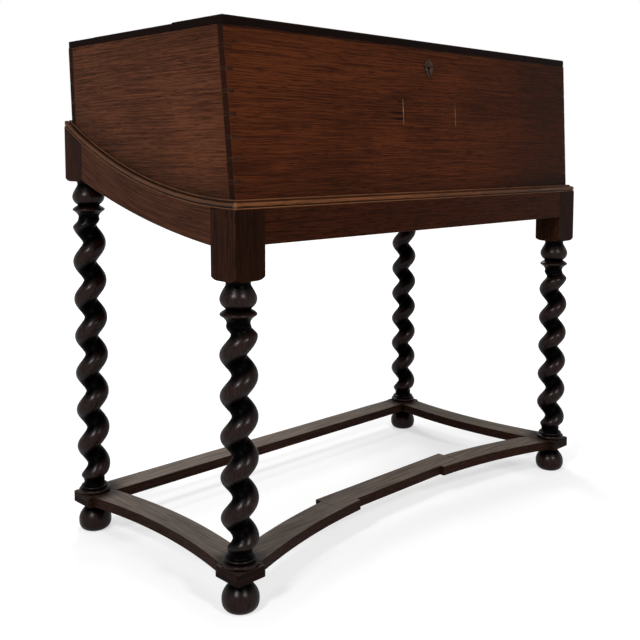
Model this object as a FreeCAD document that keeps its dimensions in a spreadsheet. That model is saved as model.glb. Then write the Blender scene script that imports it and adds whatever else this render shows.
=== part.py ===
"""An oak box for papers, hinged at the top, on a stand with four twist-turned legs.

The origin is on the floor, in the middle of the stand. X runs along the front, to the right.
Y runs from the front to the back, and Z is up. Sizes are in millimetres.
"""
import FreeCAD, Part
import math
import os
import Sketcher

SIZES = {
    # stand: legs on a rectangle, with square blocks at the top that take the rails
    "leg_spacing_long": 855.0,
    "leg_spacing_deep": 410.4,
    "leg_block": 56.0,
    "front_block_drop": 103.0,
    "rear_block_drop": 95.0,
    "pummel_sweep": 11.8,
    # the saddle: the hollow line of the stand's top, level at the front and rising to the back
    "saddle_height": 594.0,
    "saddle_rise": 125.0,
    # turning of the legs
    "upper_turning": 75.0,
    "collar_height": 23.0,
    "turning_radius": 27.4,
    "twist_radius": 28.2,
    "twist_offset": 8.6,
    "twist_run_out": 15.0,
    "front_twist_pitch": 60.6,
    "rear_left_twist_pitch": 66.2,
    "rear_right_twist_pitch": 61.4,
    "leg_tenon_side": 16.0,
    # feet
    "foot_height": 50.0,
    "foot_radius": 27.2,
    "foot_bore_depth": 24.0,
    # flat stretchers, halved together under the legs
    "stretcher_thickness": 18.0,
    "stretcher_width": 48.0,
    "pad_side": 55.0,
    "pad_corner": 5.0,
    "end_stretcher_bow": 23.0,
    "arm_radius": 1020.0,
    "arm_centre": 54.5,
    "arm_gap": 118.5,
    "middle_setback": 8.9,
    "middle_lap": 55.5,
    # rails, tenoned into the blocks
    "rail_thickness": 26.0,
    "front_rail_depth": 52.0,
    "rear_rail_depth": 56.0,
    "end_rail_front_drop": 53.5,
    "end_rail_rear_drop": 93.0,
    "end_rail_hollow": 10.8,
    "tenon_thickness": 9.0,
    "tenon_length": 24.0,
    "tenon_height": 34.0,
    "tenon_shoulder": 9.0,
    # moulding round the top of the stand
    "moulding_width": 12.0,
    "moulding_height": 12.0,
    # box: four dovetailed panels that lean, on a bottom of boards that follows the saddle
    "box_height": 258.0,
    "front_lean": 16.5,
    "end_splay": 7.5,
    "panel_thickness": 12.5,
    "bottom_thickness": 9.0,
    "dovetail_pitch": 31.8,
    "front_dovetail_start": 38.0,
    "rear_dovetail_start": 166.0,
    "pin_outer_width": 4.0,
    "pin_inner_width": 8.0,
    # top: a fixed strip at the back, and a lid of two boards
    "strip_depth": 81.5,
    "strip_thickness": 11.3,
    "lid_thickness": 11.3,
    "lid_front_thickness": 13.0,
    "lid_front_depth": 123.0,
    "lid_front_round": 4.0,
    "lid_end_inset": 1.0,
    "lid_joint": 1.0,
    # butt hinges
    "hinge_inset": 165.0,
    "hinge_length": 60.0,
    "hinge_leaf": 1.2,
    "hinge_leaf_foot": 1.5,
    "hinge_axis_rise": 1.0,
    "knuckle_radius": 3.0,
    "hinge_pin_radius": 1.5,
    # box lock, let into the front panel, and its link plate on the lid
    "lock_width": 70.0,
    "lock_height": 46.0,
    "lock_thickness": 13.0,
    "lock_letting": 3.6,
    "bolt_length": 50.0,
    "bolt_height": 6.0,
    "bolt_thickness": 4.0,
    "bolt_travel": 7.0,
    "bolt_foot_drop": 21.0,
    "bolt_rest_end": 30.0,
    "finger_height": 4.4,
    "finger_reach": 11.2,
    "finger_stem": 3.8,
    "talon_radius": 4.0,
    "staple_place": 16.0,
    "staple_thickness": 4.0,
    "staple_width": 8.0,
    "staple_depth": 13.0,
    "staple_eye_height": 6.0,
    "staple_eye_width": 4.6,
    "staple_eye_foot": 2.7,
    "staple_clearance": 1.2,
    "key_drop": 33.0,
    "key_radius": 3.2,
    "key_slot_width": 3.0,
    "key_slot_length": 8.0,
    "key_sweep": 12.0,
    "key_pin_radius": 1.2,
    "link_plate_length": 64.0,
    "link_plate_width": 18.0,
    "link_plate_thickness": 1.6,
    # keyhole plate
    "escutcheon_height": 32.0,
    "escutcheon_width": 24.0,
    "escutcheon_thickness": 1.2,
    # clearances
    "box_clearance": 0.3,
    "scribe_gap": 0.2,
    "joint_fit": 0.15,
    "hinge_fit": 0.05,
    "running_gap": 0.3,
    "overrun": 20.0,
}

# Counts, and how far each twist is turned where it leaves the collar, as a share of a full turn
TWIST_STEPS_PER_TURN = 7
ROUND_FLATS = 12
FRONT_DOVETAILS = 7
REAR_DOVETAILS = 3
BOTTOM_BOARDS = 6
TWIST_START_SHARES = {
    "front_left": 0.589,
    "front_right": 0.452,
    "rear_left": 0.496,
    "rear_right": 0.424,
}

# Outlines of the turned stretches from the bottom up, as shares of the radius and of the height
COLLAR_SHARES = (
    (0.86, 0.0),
    (1.0, 0.12),
    (1.0, 0.23),
    (0.86, 0.33),
    (0.75, 0.38),
    (0.83, 0.48),
    (0.64, 0.78),
    (0.66, 1.0),
)
HEAD_SHARES = (
    (0.66, 0.0),
    (0.66, 0.16),
    (0.985, 0.28),
    (0.985, 0.325),
    (0.70, 0.41),
    (0.97, 0.53),
    (1.0, 0.60),
    (0.93, 0.71),
    (0.74, 0.84),
    (0.74, 1.0),
)
PUMMEL_SHARES = ((0.7, 0.3), (1.0, 1.0))
FOOT_SHARES = (
    (0.55, 0.0),
    (0.93, 0.14),
    (1.0, 0.37),
    (0.86, 0.60),
    (0.61, 0.84),
    (0.72, 1.0),
)
MOULDING_SHARES = {
    "quirk": ((0.12, 0.0), (0.12, 0.15), (0.0, 0.15)),
    "ovolo": ((0.05, 0.40), (0.25, 0.66), (0.60, 0.80)),
    "fillet": ((0.66, 0.80), (0.66, 1.0), (1.0, 1.0)),
}
ESCUTCHEON_SHARES = {
    "shoulder": (1.0, 0.22),
    "crown": (0.0, 1.0),
    "side": (0.72, -0.45),
    "tip": (0.0, -1.0),
}

EIGHTH_TURN = 45.0
QUARTER_TURN = 90.0
FULL_TURN = 360.0

X_AXIS = FreeCAD.Vector(1, 0, 0)
Y_AXIS = FreeCAD.Vector(0, 1, 0)
Z_AXIS = FreeCAD.Vector(0, 0, 1)

doc = FreeCAD.newDocument("box_on_stand")
sheet = doc.addObject("Spreadsheet::Sheet", "Sizes")
for row, (alias, number) in enumerate(SIZES.items(), 1):
    sheet.set(f"A{row}", alias)
    sheet.set(f"B{row}", str(number))
    sheet.setAlias(f"B{row}", alias)
doc.recompute()


class Size:
    """A size with its present value and the expression on the sheet that gives it."""

    def __init__(self, value, text):
        self.value = float(value)
        self.text = text

    def __add__(self, other):
        other = as_size(other)
        return Size(self.value + other.value, f"({self.text} + {other.text})")

    def __sub__(self, other):
        other = as_size(other)
        return Size(self.value - other.value, f"({self.text} - {other.text})")

    def __mul__(self, other):
        other = as_size(other)
        return Size(self.value * other.value, f"({self.text} * {other.text})")

    def __truediv__(self, other):
        other = as_size(other)
        return Size(self.value / other.value, f"({self.text} / {other.text})")

    def __neg__(self):
        return Size(-self.value, f"(-1 * {self.text})")

    def __radd__(self, other):
        return as_size(other) + self

    def __rsub__(self, other):
        return as_size(other) - self

    def __rmul__(self, other):
        return as_size(other) * self


class Sheet:
    """The sheet's cells as sizes, by alias."""

    def __getattr__(self, alias):
        return Size(sheet.get(alias), f"Sizes.{alias}")


def as_size(number):
    return number if isinstance(number, Size) else Size(number, repr(number))


def root(size):
    return Size(math.sqrt(size.value), f"sqrt({size.text})")


def bind(thing, prop, size):
    thing.setExpression(prop, as_size(size).text)


s = Sheet()
pieces = []


def piece(label, thing):
    """Keep an object of the document as a sub-part under its own name."""
    thing.Label = label
    pieces.append(thing)
    return thing


# Solids and the ways of joining them


def place(thing, x, y, z, turn=None):
    if turn:
        thing.Placement = FreeCAD.Placement(FreeCAD.Vector(), FreeCAD.Rotation(*turn))
    for axis, size in zip("xyz", (x, y, z)):
        bind(thing, f"Placement.Base.{axis}", size)
    return thing


def block(name, x, y, z):
    """A box between a low and a high size on each axis."""
    solid = doc.addObject("Part::Box", name)
    for side, (low, high) in zip(("Length", "Width", "Height"), (x, y, z)):
        bind(solid, side, as_size(high) - low)
    return place(solid, x[0], y[0], z[0])


ROD_TURNS = {
    "x": (Y_AXIS, QUARTER_TURN),
    "y": (X_AXIS, -QUARTER_TURN),
    "z": (Z_AXIS, 0),
}


def along(axis, start, centre):
    """A point's three sizes from its place along an axis and across it."""
    across = list(centre)
    across.insert("xyz".index(axis), start)
    return across


def rod(name, axis, radius, centre, span):
    """A cylinder along an axis, centred on the other two, from one end of its span to the other."""
    solid = doc.addObject("Part::Cylinder", name)
    bind(solid, "Radius", radius)
    bind(solid, "Height", as_size(span[1]) - span[0])
    return place(solid, *along(axis, span[0], centre), turn=ROD_TURNS[axis])


TAPER_TURNS = {
    "x": (Z_AXIS, -QUARTER_TURN),
    "y": (Z_AXIS, 0),
    "z": (X_AXIS, QUARTER_TURN),
}


def taper(name, axis, span, low, high):
    """A solid between a low and a high rectangle along an axis, each given by its two spans."""

    def turned(sides):
        if axis == "x":
            (y0, y1), z = sides
            return (-as_size(y1), -as_size(y0)), z
        if axis == "z":
            x, (y0, y1) = sides
            return x, (-as_size(y1), -as_size(y0))
        return sides

    solid = doc.addObject("Part::Wedge", name)
    solid.Placement = FreeCAD.Placement(FreeCAD.Vector(), FreeCAD.Rotation(*TAPER_TURNS[axis]))
    bind(solid, "Ymin", span[0])
    bind(solid, "Ymax", span[1])
    for mark, sides in (("", turned(low)), ("2", turned(high))):
        for letter, (least, most) in zip("XZ", sides):
            bind(solid, f"{letter}{mark}min", least)
            bind(solid, f"{letter}{mark}max", most)
    return solid


def group(name, things):
    bundle = doc.addObject("Part::Compound", name)
    bundle.Links = things
    return bundle


def fuse(name, *things, refine=True):
    whole = doc.addObject("Part::MultiFuse", name)
    whole.Shapes = list(things)
    whole.Refine = refine
    return whole


def cut(name, base, *tools):
    rest = doc.addObject("Part::Cut", name)
    rest.Base = base
    rest.Tool = tools[0] if len(tools) == 1 else group(f"{name}_tools", list(tools))
    return rest


def common(name, *things):
    shared = doc.addObject("Part::MultiCommon", name)
    shared.Shapes = list(things)
    return shared


def outline(body, plane, start, *steps):
    """A closed outline on one of a body's planes: each step is a corner, or a point to pass and a corner."""
    sketch = body.newObject("Sketcher::SketchObject", f"{body.Name}_outline")
    origin = {feature.Role: feature for feature in body.Origin.OriginFeatures}
    sketch.AttachmentSupport = (origin[plane], "")
    sketch.MapMode = "FlatFace"

    def vector(point):
        return FreeCAD.Vector(as_size(point[0]).value, as_size(point[1]).value, 0)

    def hold(geometry, end, point):
        for kind, axis, size in (("DistanceX", -2, point[0]), ("DistanceY", -1, point[1])):
            size = as_size(size)
            if size.value == 0:
                sketch.addConstraint(Sketcher.Constraint("PointOnObject", geometry, end, axis))
            else:
                distance = Sketcher.Constraint(kind, -1, 1, geometry, end, size.value)
                index = sketch.addConstraint(distance)
                sketch.setExpression(f"Constraints[{index}]", size.text)

    corners = [start] + [step[-1] for step in steps]
    edges = []
    for here, step in zip(corners, steps):
        if len(step) == 1:
            edge = Part.LineSegment(vector(here), vector(step[-1]))
        else:
            edge = Part.Arc(vector(here), vector(step[0]), vector(step[-1]))
        edges.append(sketch.addGeometry(edge, False))
    if corners[-1] == start:
        corners.pop()
    else:
        edges.append(sketch.addGeometry(Part.LineSegment(vector(corners[-1]), vector(start)), False))

    def first(edge, corner):
        near = sketch.getPoint(edge, 1).distanceToPoint(vector(corner))
        far = sketch.getPoint(edge, 2).distanceToPoint(vector(corner))
        return 1 if near < far else 2

    starts = [first(edge, corner) for edge, corner in zip(edges, corners)]
    for k, edge in enumerate(edges):
        after = (k + 1) % len(edges)
        meet = Sketcher.Constraint("Coincident", edge, 3 - starts[k], edges[after], starts[after])
        sketch.addConstraint(meet)
        hold(edge, starts[k], corners[k])
    for edge, step in zip(edges, steps):
        if len(step) == 2:
            passed = sketch.addGeometry(Part.Point(vector(step[0])), True)
            hold(passed, 1, step[0])
            sketch.addConstraint(Sketcher.Constraint("PointOnObject", passed, 1, edge))
    return sketch


def prism(name, plane, thickness, start, *steps):
    """A body padded from an outline, along the plane's normal."""
    body = doc.addObject("PartDesign::Body", name)
    sketch = outline(body, plane, start, *steps)
    pad = body.newObject("PartDesign::Pad", f"{name}_pad")
    pad.Profile = sketch
    bind(pad, "Length", thickness)
    return body


def turning(name, start, *steps):
    """A body turned about its own upright axis, from radii and heights."""
    body = doc.addObject("PartDesign::Body", name)
    sketch = outline(body, "XZ_Plane", start, *steps)
    spin = body.newObject("PartDesign::Revolution", f"{name}_turning")
    spin.Profile = sketch
    spin.ReferenceAxis = (sketch, ["V_Axis"])
    spin.Angle = FULL_TURN
    return body


def shared_by(shares, across, along_size, foot=0, start=0):
    """Points from shares of a size across, from a start, and of a size along, above a foot."""
    return [(start + across * wide, foot + along_size * high) for wide, high in shares]


# Main lines of the stand and the box

half_length = s.leg_spacing_long / 2 + s.leg_block / 2
half_depth = s.leg_spacing_deep / 2 + s.leg_block / 2
inner_length = s.leg_spacing_long / 2 - s.leg_block / 2
inner_depth = s.leg_spacing_deep / 2 - s.leg_block / 2
full_depth = half_depth * 2
saddle_radius = (full_depth * full_depth + s.saddle_rise * s.saddle_rise) / (s.saddle_rise * 2)
saddle_centre = (-half_depth, s.saddle_height + saddle_radius)
saddle_back = s.saddle_height + s.saddle_rise
across_all = (-half_length - s.overrun, half_length + s.overrun)
pad_foot = s.foot_height
pad_top = s.foot_height + s.stretcher_thickness
lap_height = s.foot_height + s.stretcher_thickness / 2
box_foot_half = half_length - s.moulding_width - s.box_clearance
box_front = -half_depth + s.moulding_width + s.box_clearance
box_back = half_depth - s.moulding_width - s.box_clearance
box_top = s.saddle_height + s.box_height
box_top_half = box_foot_half + s.end_splay
box_top_front = box_front + s.front_lean

SIDES = {"left": -1, "right": 1}
ENDS = {"front": -1, "rear": 1}

saddle = rod("saddle", "x", saddle_radius, saddle_centre, across_all)


def leg_place(end, side):
    return s.leg_spacing_long / 2 * SIDES[side], s.leg_spacing_deep / 2 * ENDS[end]


# Rails: straight at the front and back, hollowed under at the ends, each with a tenon into both blocks


def tenon(name, x, y, z, fit=0):
    """A tenon's block, or with a fit the mortise for it."""
    spans = [(as_size(low) - fit, as_size(high) + fit) for low, high in (x, y, z)]
    return block(name, *spans)


mortises = {(end, side): [] for end in ENDS for side in SIDES}
tenon_half = s.tenon_thickness / 2
rail_middle = s.rail_thickness / 2


def long_rail(end, foot):
    sign = ENDS[end]
    outer = half_depth * sign
    y = (outer, outer + s.rail_thickness) if sign < 0 else (outer - s.rail_thickness, outer)
    body = block(f"{end}_rail_body", (-inner_length, inner_length), y, (foot, box_top))
    level = cut(f"{end}_rail_level", body, saddle)
    parts = [level]
    centre = outer - rail_middle * sign
    tenon_z = (foot + s.tenon_shoulder, foot + s.tenon_shoulder + s.tenon_height)
    for side, way in SIDES.items():
        root_x = inner_length * way
        tip_x = root_x + s.tenon_length * way
        x = (root_x, tip_x) if way > 0 else (tip_x, root_x)
        across = (centre - tenon_half, centre + tenon_half)
        parts.append(tenon(f"{end}_rail_{side}_tenon", x, across, tenon_z))
        hole = tenon(f"{end}_rail_{side}_mortise", x, across, tenon_z, s.joint_fit)
        mortises[end, side].append(hole)
    piece(f"{end}_rail", fuse(f"{end}_rail_whole", *parts))


def end_rail(side):
    way = SIDES[side]
    outer = half_length * way
    low_x = outer if way < 0 else outer - s.rail_thickness
    feet = {
        "front": s.saddle_height - s.end_rail_front_drop,
        "rear": saddle_back - s.end_rail_rear_drop,
    }
    front_foot = (-inner_depth, feet["front"])
    rear_foot = (inner_depth, feet["rear"])
    middle = (0, (feet["front"] + feet["rear"]) / 2 - s.end_rail_hollow)
    body = prism(
        f"{side}_end_rail_body",
        "YZ_Plane",
        s.rail_thickness,
        front_foot,
        (middle, rear_foot),
        ((inner_depth, box_top),),
        ((-inner_depth, box_top),),
    )
    place(body, low_x, 0, 0)
    parts = [cut(f"{side}_end_rail_level", body, saddle)]
    centre = outer - rail_middle * way
    across = (centre - tenon_half, centre + tenon_half)
    for end, foot in feet.items():
        sign = ENDS[end]
        root_y = inner_depth * sign
        tip_y = root_y + s.tenon_length * sign
        y = (root_y, tip_y) if sign > 0 else (tip_y, root_y)
        z = (foot + s.tenon_shoulder, foot + s.tenon_shoulder + s.tenon_height)
        parts.append(tenon(f"{side}_end_rail_{end}_tenon", across, y, z))
        hole = tenon(f"{side}_end_rail_{end}_mortise", across, y, z, s.joint_fit)
        mortises[end, side].append(hole)
    piece(f"{side}_end_rail", fuse(f"{side}_end_rail_whole", *parts))


long_rail("front", s.saddle_height - s.front_rail_depth)
long_rail("rear", saddle_back - s.rear_rail_depth)
for side in SIDES:
    end_rail(side)

# Legs: a square block with swept corners, a ring and a bulb, one right-handed twist, a collar and a tenon

block_feet = {"front": s.saddle_height - s.front_block_drop, "rear": saddle_back - s.rear_block_drop}
twist_foot = pad_top + s.collar_height
section_radius = s.twist_radius - s.twist_offset
half_block = s.leg_block / 2
peg_half = s.leg_tenon_side / 2


def square_at(x, y, half):
    """The spans of a square round an upright axis."""
    return (x - half, x + half), (y - half, y + half)


def pummel(name, foot, x, y):
    """The square block, its lower corners swept up in a quarter round by the lathe."""
    square = block(f"{name}_square", *square_at(x, y, half_block), (foot, box_top))
    corner = half_block + s.pummel_sweep
    swept = turning(
        f"{name}_sweep",
        (0, foot),
        ((half_block, foot),),
        *((point,) for point in shared_by(PUMMEL_SHARES, s.pummel_sweep, s.pummel_sweep, foot, half_block)),
        ((corner, box_top),),
        ((0, box_top),),
    )
    place(swept, x, y, 0)
    return cut(f"{name}_block", common(f"{name}_pummel", square, swept), saddle)


def round_section(radius, z, centre=(0, 0)):
    """The corners of a level section of a turned or twisted stretch, cut in flats."""
    corners = []
    for flat in range(ROUND_FLATS):
        turn = 2 * math.pi * flat / ROUND_FLATS
        corners.append(FreeCAD.Vector(centre[0] + radius * math.cos(turn), centre[1] + radius * math.sin(turn), z))
    return corners


def turned_sections(shares, radius, foot, height):
    """The sections of a turned stretch from its foot up."""
    spots = shared_by(shares, radius, height, foot)
    return [round_section(as_size(wide).value, as_size(z).value) for wide, z in spots]


def twist_sections(head, pitch, start_share):
    """The twist: a round section carried up a right-handed spiral, and drawn in to the axis at both ends."""
    length = (head - twist_foot).value
    run_out = s.twist_run_out.value
    neck = (s.turning_radius * COLLAR_SHARES[-1][0]).value
    steps = math.ceil(length / pitch.value * TWIST_STEPS_PER_TURN)
    sections = []
    for step in range(1, steps):
        rise = length * step / steps
        drawn = min(rise, length - rise, run_out) / run_out
        angle = 2 * math.pi * (start_share + rise / pitch.value)
        offset = s.twist_offset.value * drawn
        centre = (offset * math.cos(angle), offset * math.sin(angle))
        radius = neck + (section_radius.value - neck) * drawn
        sections.append(round_section(radius, twist_foot.value + rise, centre))
    return sections


def flat_face(corners):
    return Part.Face(Part.makePolygon(corners + corners[:1]))


def lofted(name, sections, x, y):
    """A solid of flats from section to section, set on its upright axis."""
    faces = [flat_face(sections[0][::-1]), flat_face(sections[-1])]
    for low, high in zip(sections, sections[1:]):
        for k in range(ROUND_FLATS):
            faces.append(flat_face([low[k - 1], low[k], high[k], high[k - 1]]))
    body = doc.addObject("Part::Feature", name)
    body.Shape = Part.makeSolid(Part.makeShell(faces))
    return place(body, x, y, 0)


PITCHES = {
    ("front", "left"): s.front_twist_pitch,
    ("front", "right"): s.front_twist_pitch,
    ("rear", "left"): s.rear_left_twist_pitch,
    ("rear", "right"): s.rear_right_twist_pitch,
}
for end in ENDS:
    for side in SIDES:
        name = f"leg_{end}_{side}"
        x, y = leg_place(end, side)
        foot = block_feet[end]
        share = TWIST_START_SHARES[f"{end}_{side}"]
        square = cut(f"{name}_mortised", pummel(name, foot, x, y), *mortises[end, side])
        head_foot = foot - s.upper_turning
        sections = turned_sections(COLLAR_SHARES, s.turning_radius, pad_top, s.collar_height)
        sections += twist_sections(head_foot, PITCHES[end, side], share)
        sections += turned_sections(HEAD_SHARES, s.turning_radius, head_foot, s.upper_turning)
        shaft = lofted(f"{name}_shaft", sections, x, y)
        tenon_z = (pad_foot - s.foot_bore_depth + s.running_gap, pad_top + s.tenon_shoulder)
        peg = block(f"{name}_peg", *square_at(x, y, peg_half), tenon_z)
        lower = fuse(f"{name}_lower", shaft, peg, refine=False)
        piece(name, fuse(name, lower, square, refine=False))

# Feet: turned buns, bored for the legs' tenons

bore_half = peg_half + s.joint_fit
buns = []
for end in ENDS:
    for side in SIDES:
        name = f"foot_{end}_{side}"
        x, y = leg_place(end, side)
        sections = turned_sections(FOOT_SHARES, s.foot_radius, 0, s.foot_height)
        bun = lofted(f"{name}_bun", sections, x, y)
        socket = (pad_foot - s.foot_bore_depth, pad_top)
        buns.append(cut(name, bun, block(f"{name}_socket", *square_at(x, y, bore_half), socket)))
piece("feet", group("feet", buns))

# Stretchers: flat boards with a rounded pad under each leg, halved where they cross

tenon_bores = {}
for end in ENDS:
    for side in SIDES:
        span = (pad_foot - s.overrun, pad_top + s.overrun)
        spans = square_at(*leg_place(end, side), bore_half)
        tenon_bores[end, side] = block(f"pad_bore_{end}_{side}", *spans, span)


def pad(name, end, side, foot):
    """A square pad with rounded corners round a leg's axis, from a foot to the stretchers' top."""
    half = s.pad_side / 2
    flat = half - s.pad_corner
    bend = flat + s.pad_corner * math.sin(math.radians(EIGHTH_TURN))
    steps = []
    for u, v, swap in ((1, 1, False), (-1, 1, True), (-1, -1, False), (1, -1, True)):
        ends = [(half * u, flat * v), (flat * u, half * v)]
        if swap:
            ends.reverse()
        steps.append((ends[0],))
        steps.append(((bend * u, bend * v), ends[1]))
    start = steps.pop(0)[0]
    body = prism(name, "XY_Plane", pad_top - foot, start, *steps)
    x, y = leg_place(end, side)
    return place(body, x, y, foot)


def ring_part(name, radius, centre, x, y):
    """A stretch of a flat ring board, of the stretchers' width, inside a rectangle."""
    half = s.stretcher_width / 2
    span = (pad_foot, pad_top)
    outer = rod(f"{name}_outer", "z", radius + half, centre, span)
    inner = rod(f"{name}_inner", "z", radius - half, centre, span)
    return common(f"{name}_bow", cut(f"{name}_ring", outer, inner), block(f"{name}_reach", x, y, span))


half_leg_x = s.leg_spacing_long / 2
half_leg_y = s.leg_spacing_deep / 2
bow = s.end_stretcher_bow
bow_radius = (half_leg_y * half_leg_y + bow * bow) / (bow * 2)
end_stretchers = {}
for side, way in SIDES.items():
    name = f"{side}_end_stretcher"
    centre = ((half_leg_x - bow + bow_radius) * way, 0)
    near = half_leg_x - bow - s.stretcher_width
    far = half_leg_x + s.pad_side
    x = (near, far) if way > 0 else (-far, -near)
    bowed = ring_part(name, bow_radius, centre, x, (-half_leg_y, half_leg_y))
    laps = [
        block(
            f"{name}_{end}_lap",
            (half_leg_x * way - s.pad_side / 2, half_leg_x * way + s.pad_side / 2),
            (half_leg_y * sign - s.pad_side / 2, half_leg_y * sign + s.pad_side / 2),
            (pad_foot, lap_height),
        )
        for end, sign in ENDS.items()
    ]
    pads = [pad(f"{name}_{end}_pad", end, side, lap_height) for end in ENDS]
    bores = [tenon_bores[end, side] for end in ENDS]
    whole = fuse(f"{name}_whole", cut(f"{name}_lapped", bowed, *laps), *pads)
    end_stretchers[side] = piece(name, cut(name, whole, *bores))

rear_bar = block(
    "rear_stretcher_bar",
    (-half_leg_x, half_leg_x),
    (half_leg_y - s.stretcher_width / 2, half_leg_y + s.stretcher_width / 2),
    (pad_foot, pad_top),
)
rear_pads = [pad(f"rear_stretcher_{side}_pad", "rear", side, pad_foot) for side in SIDES]
rear_whole = fuse("rear_stretcher_whole", rear_bar, *rear_pads)
rear_bores = [tenon_bores["rear", side] for side in SIDES]
piece("rear_stretcher", cut("rear_stretcher", rear_whole, *end_stretchers.values(), *rear_bores))

arm_run = half_leg_x - s.arm_centre
arm_fall = root(s.arm_radius * s.arm_radius - arm_run * arm_run)
tip_run = s.arm_gap - s.arm_centre
arm_tip = -half_leg_y - arm_fall + root(s.arm_radius * s.arm_radius - tip_run * tip_run)
middle_y = arm_tip + s.middle_setback
middle_half = s.arm_gap + s.middle_lap
middle_bar = block(
    "front_stretcher_middle_bar",
    (-middle_half, middle_half),
    (middle_y - s.stretcher_width / 2, middle_y + s.stretcher_width / 2),
    (pad_foot, pad_top),
)
middle_laps = [
    block(
        f"front_stretcher_middle_{side}_lap",
        (s.arm_gap, half_leg_x) if way > 0 else (-half_leg_x, -s.arm_gap),
        (-half_depth, half_depth),
        (pad_foot, lap_height),
    )
    for side, way in SIDES.items()
]
middle = piece("front_stretcher_middle", cut("front_stretcher_middle", middle_bar, *middle_laps))

for side, way in SIDES.items():
    name = f"front_stretcher_{side}_arm"
    centre = (s.arm_centre * way, -half_leg_y - arm_fall)
    x = (s.arm_gap, half_leg_x) if way > 0 else (-half_leg_x, -s.arm_gap)
    bowed = ring_part(name, s.arm_radius, centre, x, (-half_depth, half_depth))
    whole = fuse(f"{name}_whole", bowed, pad(f"{name}_pad", "front", side, pad_foot))
    piece(name, cut(name, whole, end_stretchers[side], middle, tenon_bores["front", side]))

# Box hull: the outside of the four panels, upright at the back, leaning at the front, splayed at the ends


def hull(name, grow):
    """The outside of the box, grown all round by a size."""
    low = (
        (-box_foot_half - grow, box_foot_half + grow),
        (box_front - grow, box_back + grow),
    )
    high = (
        (-box_top_half - grow, box_top_half + grow),
        (box_top_front - grow, box_back + grow),
    )
    return taper(name, "z", (s.saddle_height, box_top), low, high)


def past(name, wall):
    """Everything on the room side of one wall's inner face."""
    wide = s.overrun
    inset = s.panel_thickness

    def spans(half, front):
        left = -half + inset if wall == "left" else -half - wide
        right = half - inset if wall == "right" else half + wide
        near = front + inset if wall == "front" else front - wide
        back = box_back - inset if wall == "rear" else box_back + wide
        return (left, right), (near, back)

    low = spans(box_foot_half, box_front)
    high = spans(box_top_half, box_top_front)
    return taper(name, "z", (s.saddle_height, box_top), low, high)


box_hull = hull("box_hull", 0)
box_room = hull("box_room", s.box_clearance)

# Mouldings: a quirk, an ovolo and a fillet, mitred at the corners and planed to the box's lean


def moulding_points(outer, way, foot):
    """The moulding's section from the stand's outer face inwards."""
    spots = {}
    for name, shares in MOULDING_SHARES.items():
        spots[name] = [
            (outer - s.moulding_width * wide * way, foot + s.moulding_height * high)
            for wide, high in shares
        ]
    toe = (outer - s.moulding_width * way, foot)
    quirk, ovolo, fillet = spots["quirk"], spots["ovolo"], spots["fillet"]
    return quirk[0], [(point,) for point in quirk[1:] + ovolo + fillet + [toe]]


def mitred(name, axis, outer, way, reach):
    """The plan of a moulding along one side: its ends cut at the mitre."""
    inner = outer - s.moulding_width * way
    short = reach - s.moulding_width
    z = (s.saddle_height - s.overrun, box_top)
    sides = [((-reach, reach), z), ((-short, short), z)]
    if way > 0:
        return taper(name, axis, (inner, outer), sides[1], sides[0])
    return taper(name, axis, (outer, inner), sides[0], sides[1])


front_start, front_steps = moulding_points(-half_depth, -1, s.saddle_height)
front_strip = prism("front_moulding_strip", "YZ_Plane", half_length * 2, front_start, *front_steps)
place(front_strip, -half_length, 0, 0)
front_plan = mitred("front_moulding_plan", "y", -half_depth, -1, half_length)
piece("front_moulding", common("front_moulding", front_strip, front_plan, saddle))

inner_saddle = rod(
    "moulding_top", "x", saddle_radius - s.moulding_height, saddle_centre, across_all
)
rear_plan = mitred("rear_moulding_plan", "y", half_depth, 1, half_length)
piece("rear_moulding", cut("rear_moulding", common("rear_moulding_strip", rear_plan, saddle), inner_saddle))

for side, way in SIDES.items():
    name = f"{side}_end_moulding"
    body = doc.addObject("PartDesign::Body", f"{name}_strip")
    start, steps = moulding_points(half_length * way, way, -saddle_radius)
    sketch = outline(body, "XZ_Plane", start, *steps)
    bend = body.newObject("PartDesign::Revolution", f"{name}_bend")
    bend.Profile = sketch
    bend.ReferenceAxis = (sketch, ["H_Axis"])
    bend.Angle = EIGHTH_TURN
    place(body, 0, *saddle_centre)
    plan = mitred(f"{name}_plan", "x", half_length * way, way, half_depth)
    piece(name, cut(name, common(f"{name}_mitred", body, plan), box_room))

# Box panels: through dovetails, tails on the front and back, pins on the ends

boards_top = saddle_radius - s.scribe_gap - s.bottom_thickness
panel_reach = rod("panel_reach", "x", boards_top - s.scribe_gap, saddle_centre, across_all)
front_board = cut("front_board", box_hull, past("past_front", "front"))
rear_board = cut("rear_board", box_hull, past("past_rear", "rear"))
slabs = {side: cut(f"{side}_slab", box_hull, past(f"past_{side}", side)) for side in SIDES}


def pins(end, side, board, first, count):
    """The pins of one corner: narrow at the outside of the end panel, wide at its inside."""
    way = SIDES[side]
    outer = box_top_half * way
    inner = (box_foot_half - s.panel_thickness) * way
    front = box_front - s.overrun if end == "front" else box_back - s.overrun
    back = front + s.overrun * 3
    narrow = s.pin_outer_width / 2
    wide = s.pin_inner_width / 2
    wedges = []
    for k in range(count):
        z = s.saddle_height + first + s.dovetail_pitch * k
        sides = [((front, back), (z - half, z + half)) for half in (narrow, wide)]
        span = (outer, inner)
        if way > 0:
            sides.reverse()
            span = (inner, outer)
        wedges.append(taper(f"pin_{end}_{side}_{k}", "x", span, *sides))
    row = group(f"pins_{end}_{side}_row", wedges)
    return common(f"pins_{end}_{side}", common(f"corner_{end}_{side}", board, slabs[side]), row)


corner_pins = {}
for side in SIDES:
    corner_pins["front", side] = pins("front", side, front_board, s.front_dovetail_start, FRONT_DOVETAILS)
    corner_pins["rear", side] = pins("rear", side, rear_board, s.rear_dovetail_start, REAR_DOVETAILS)

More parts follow.
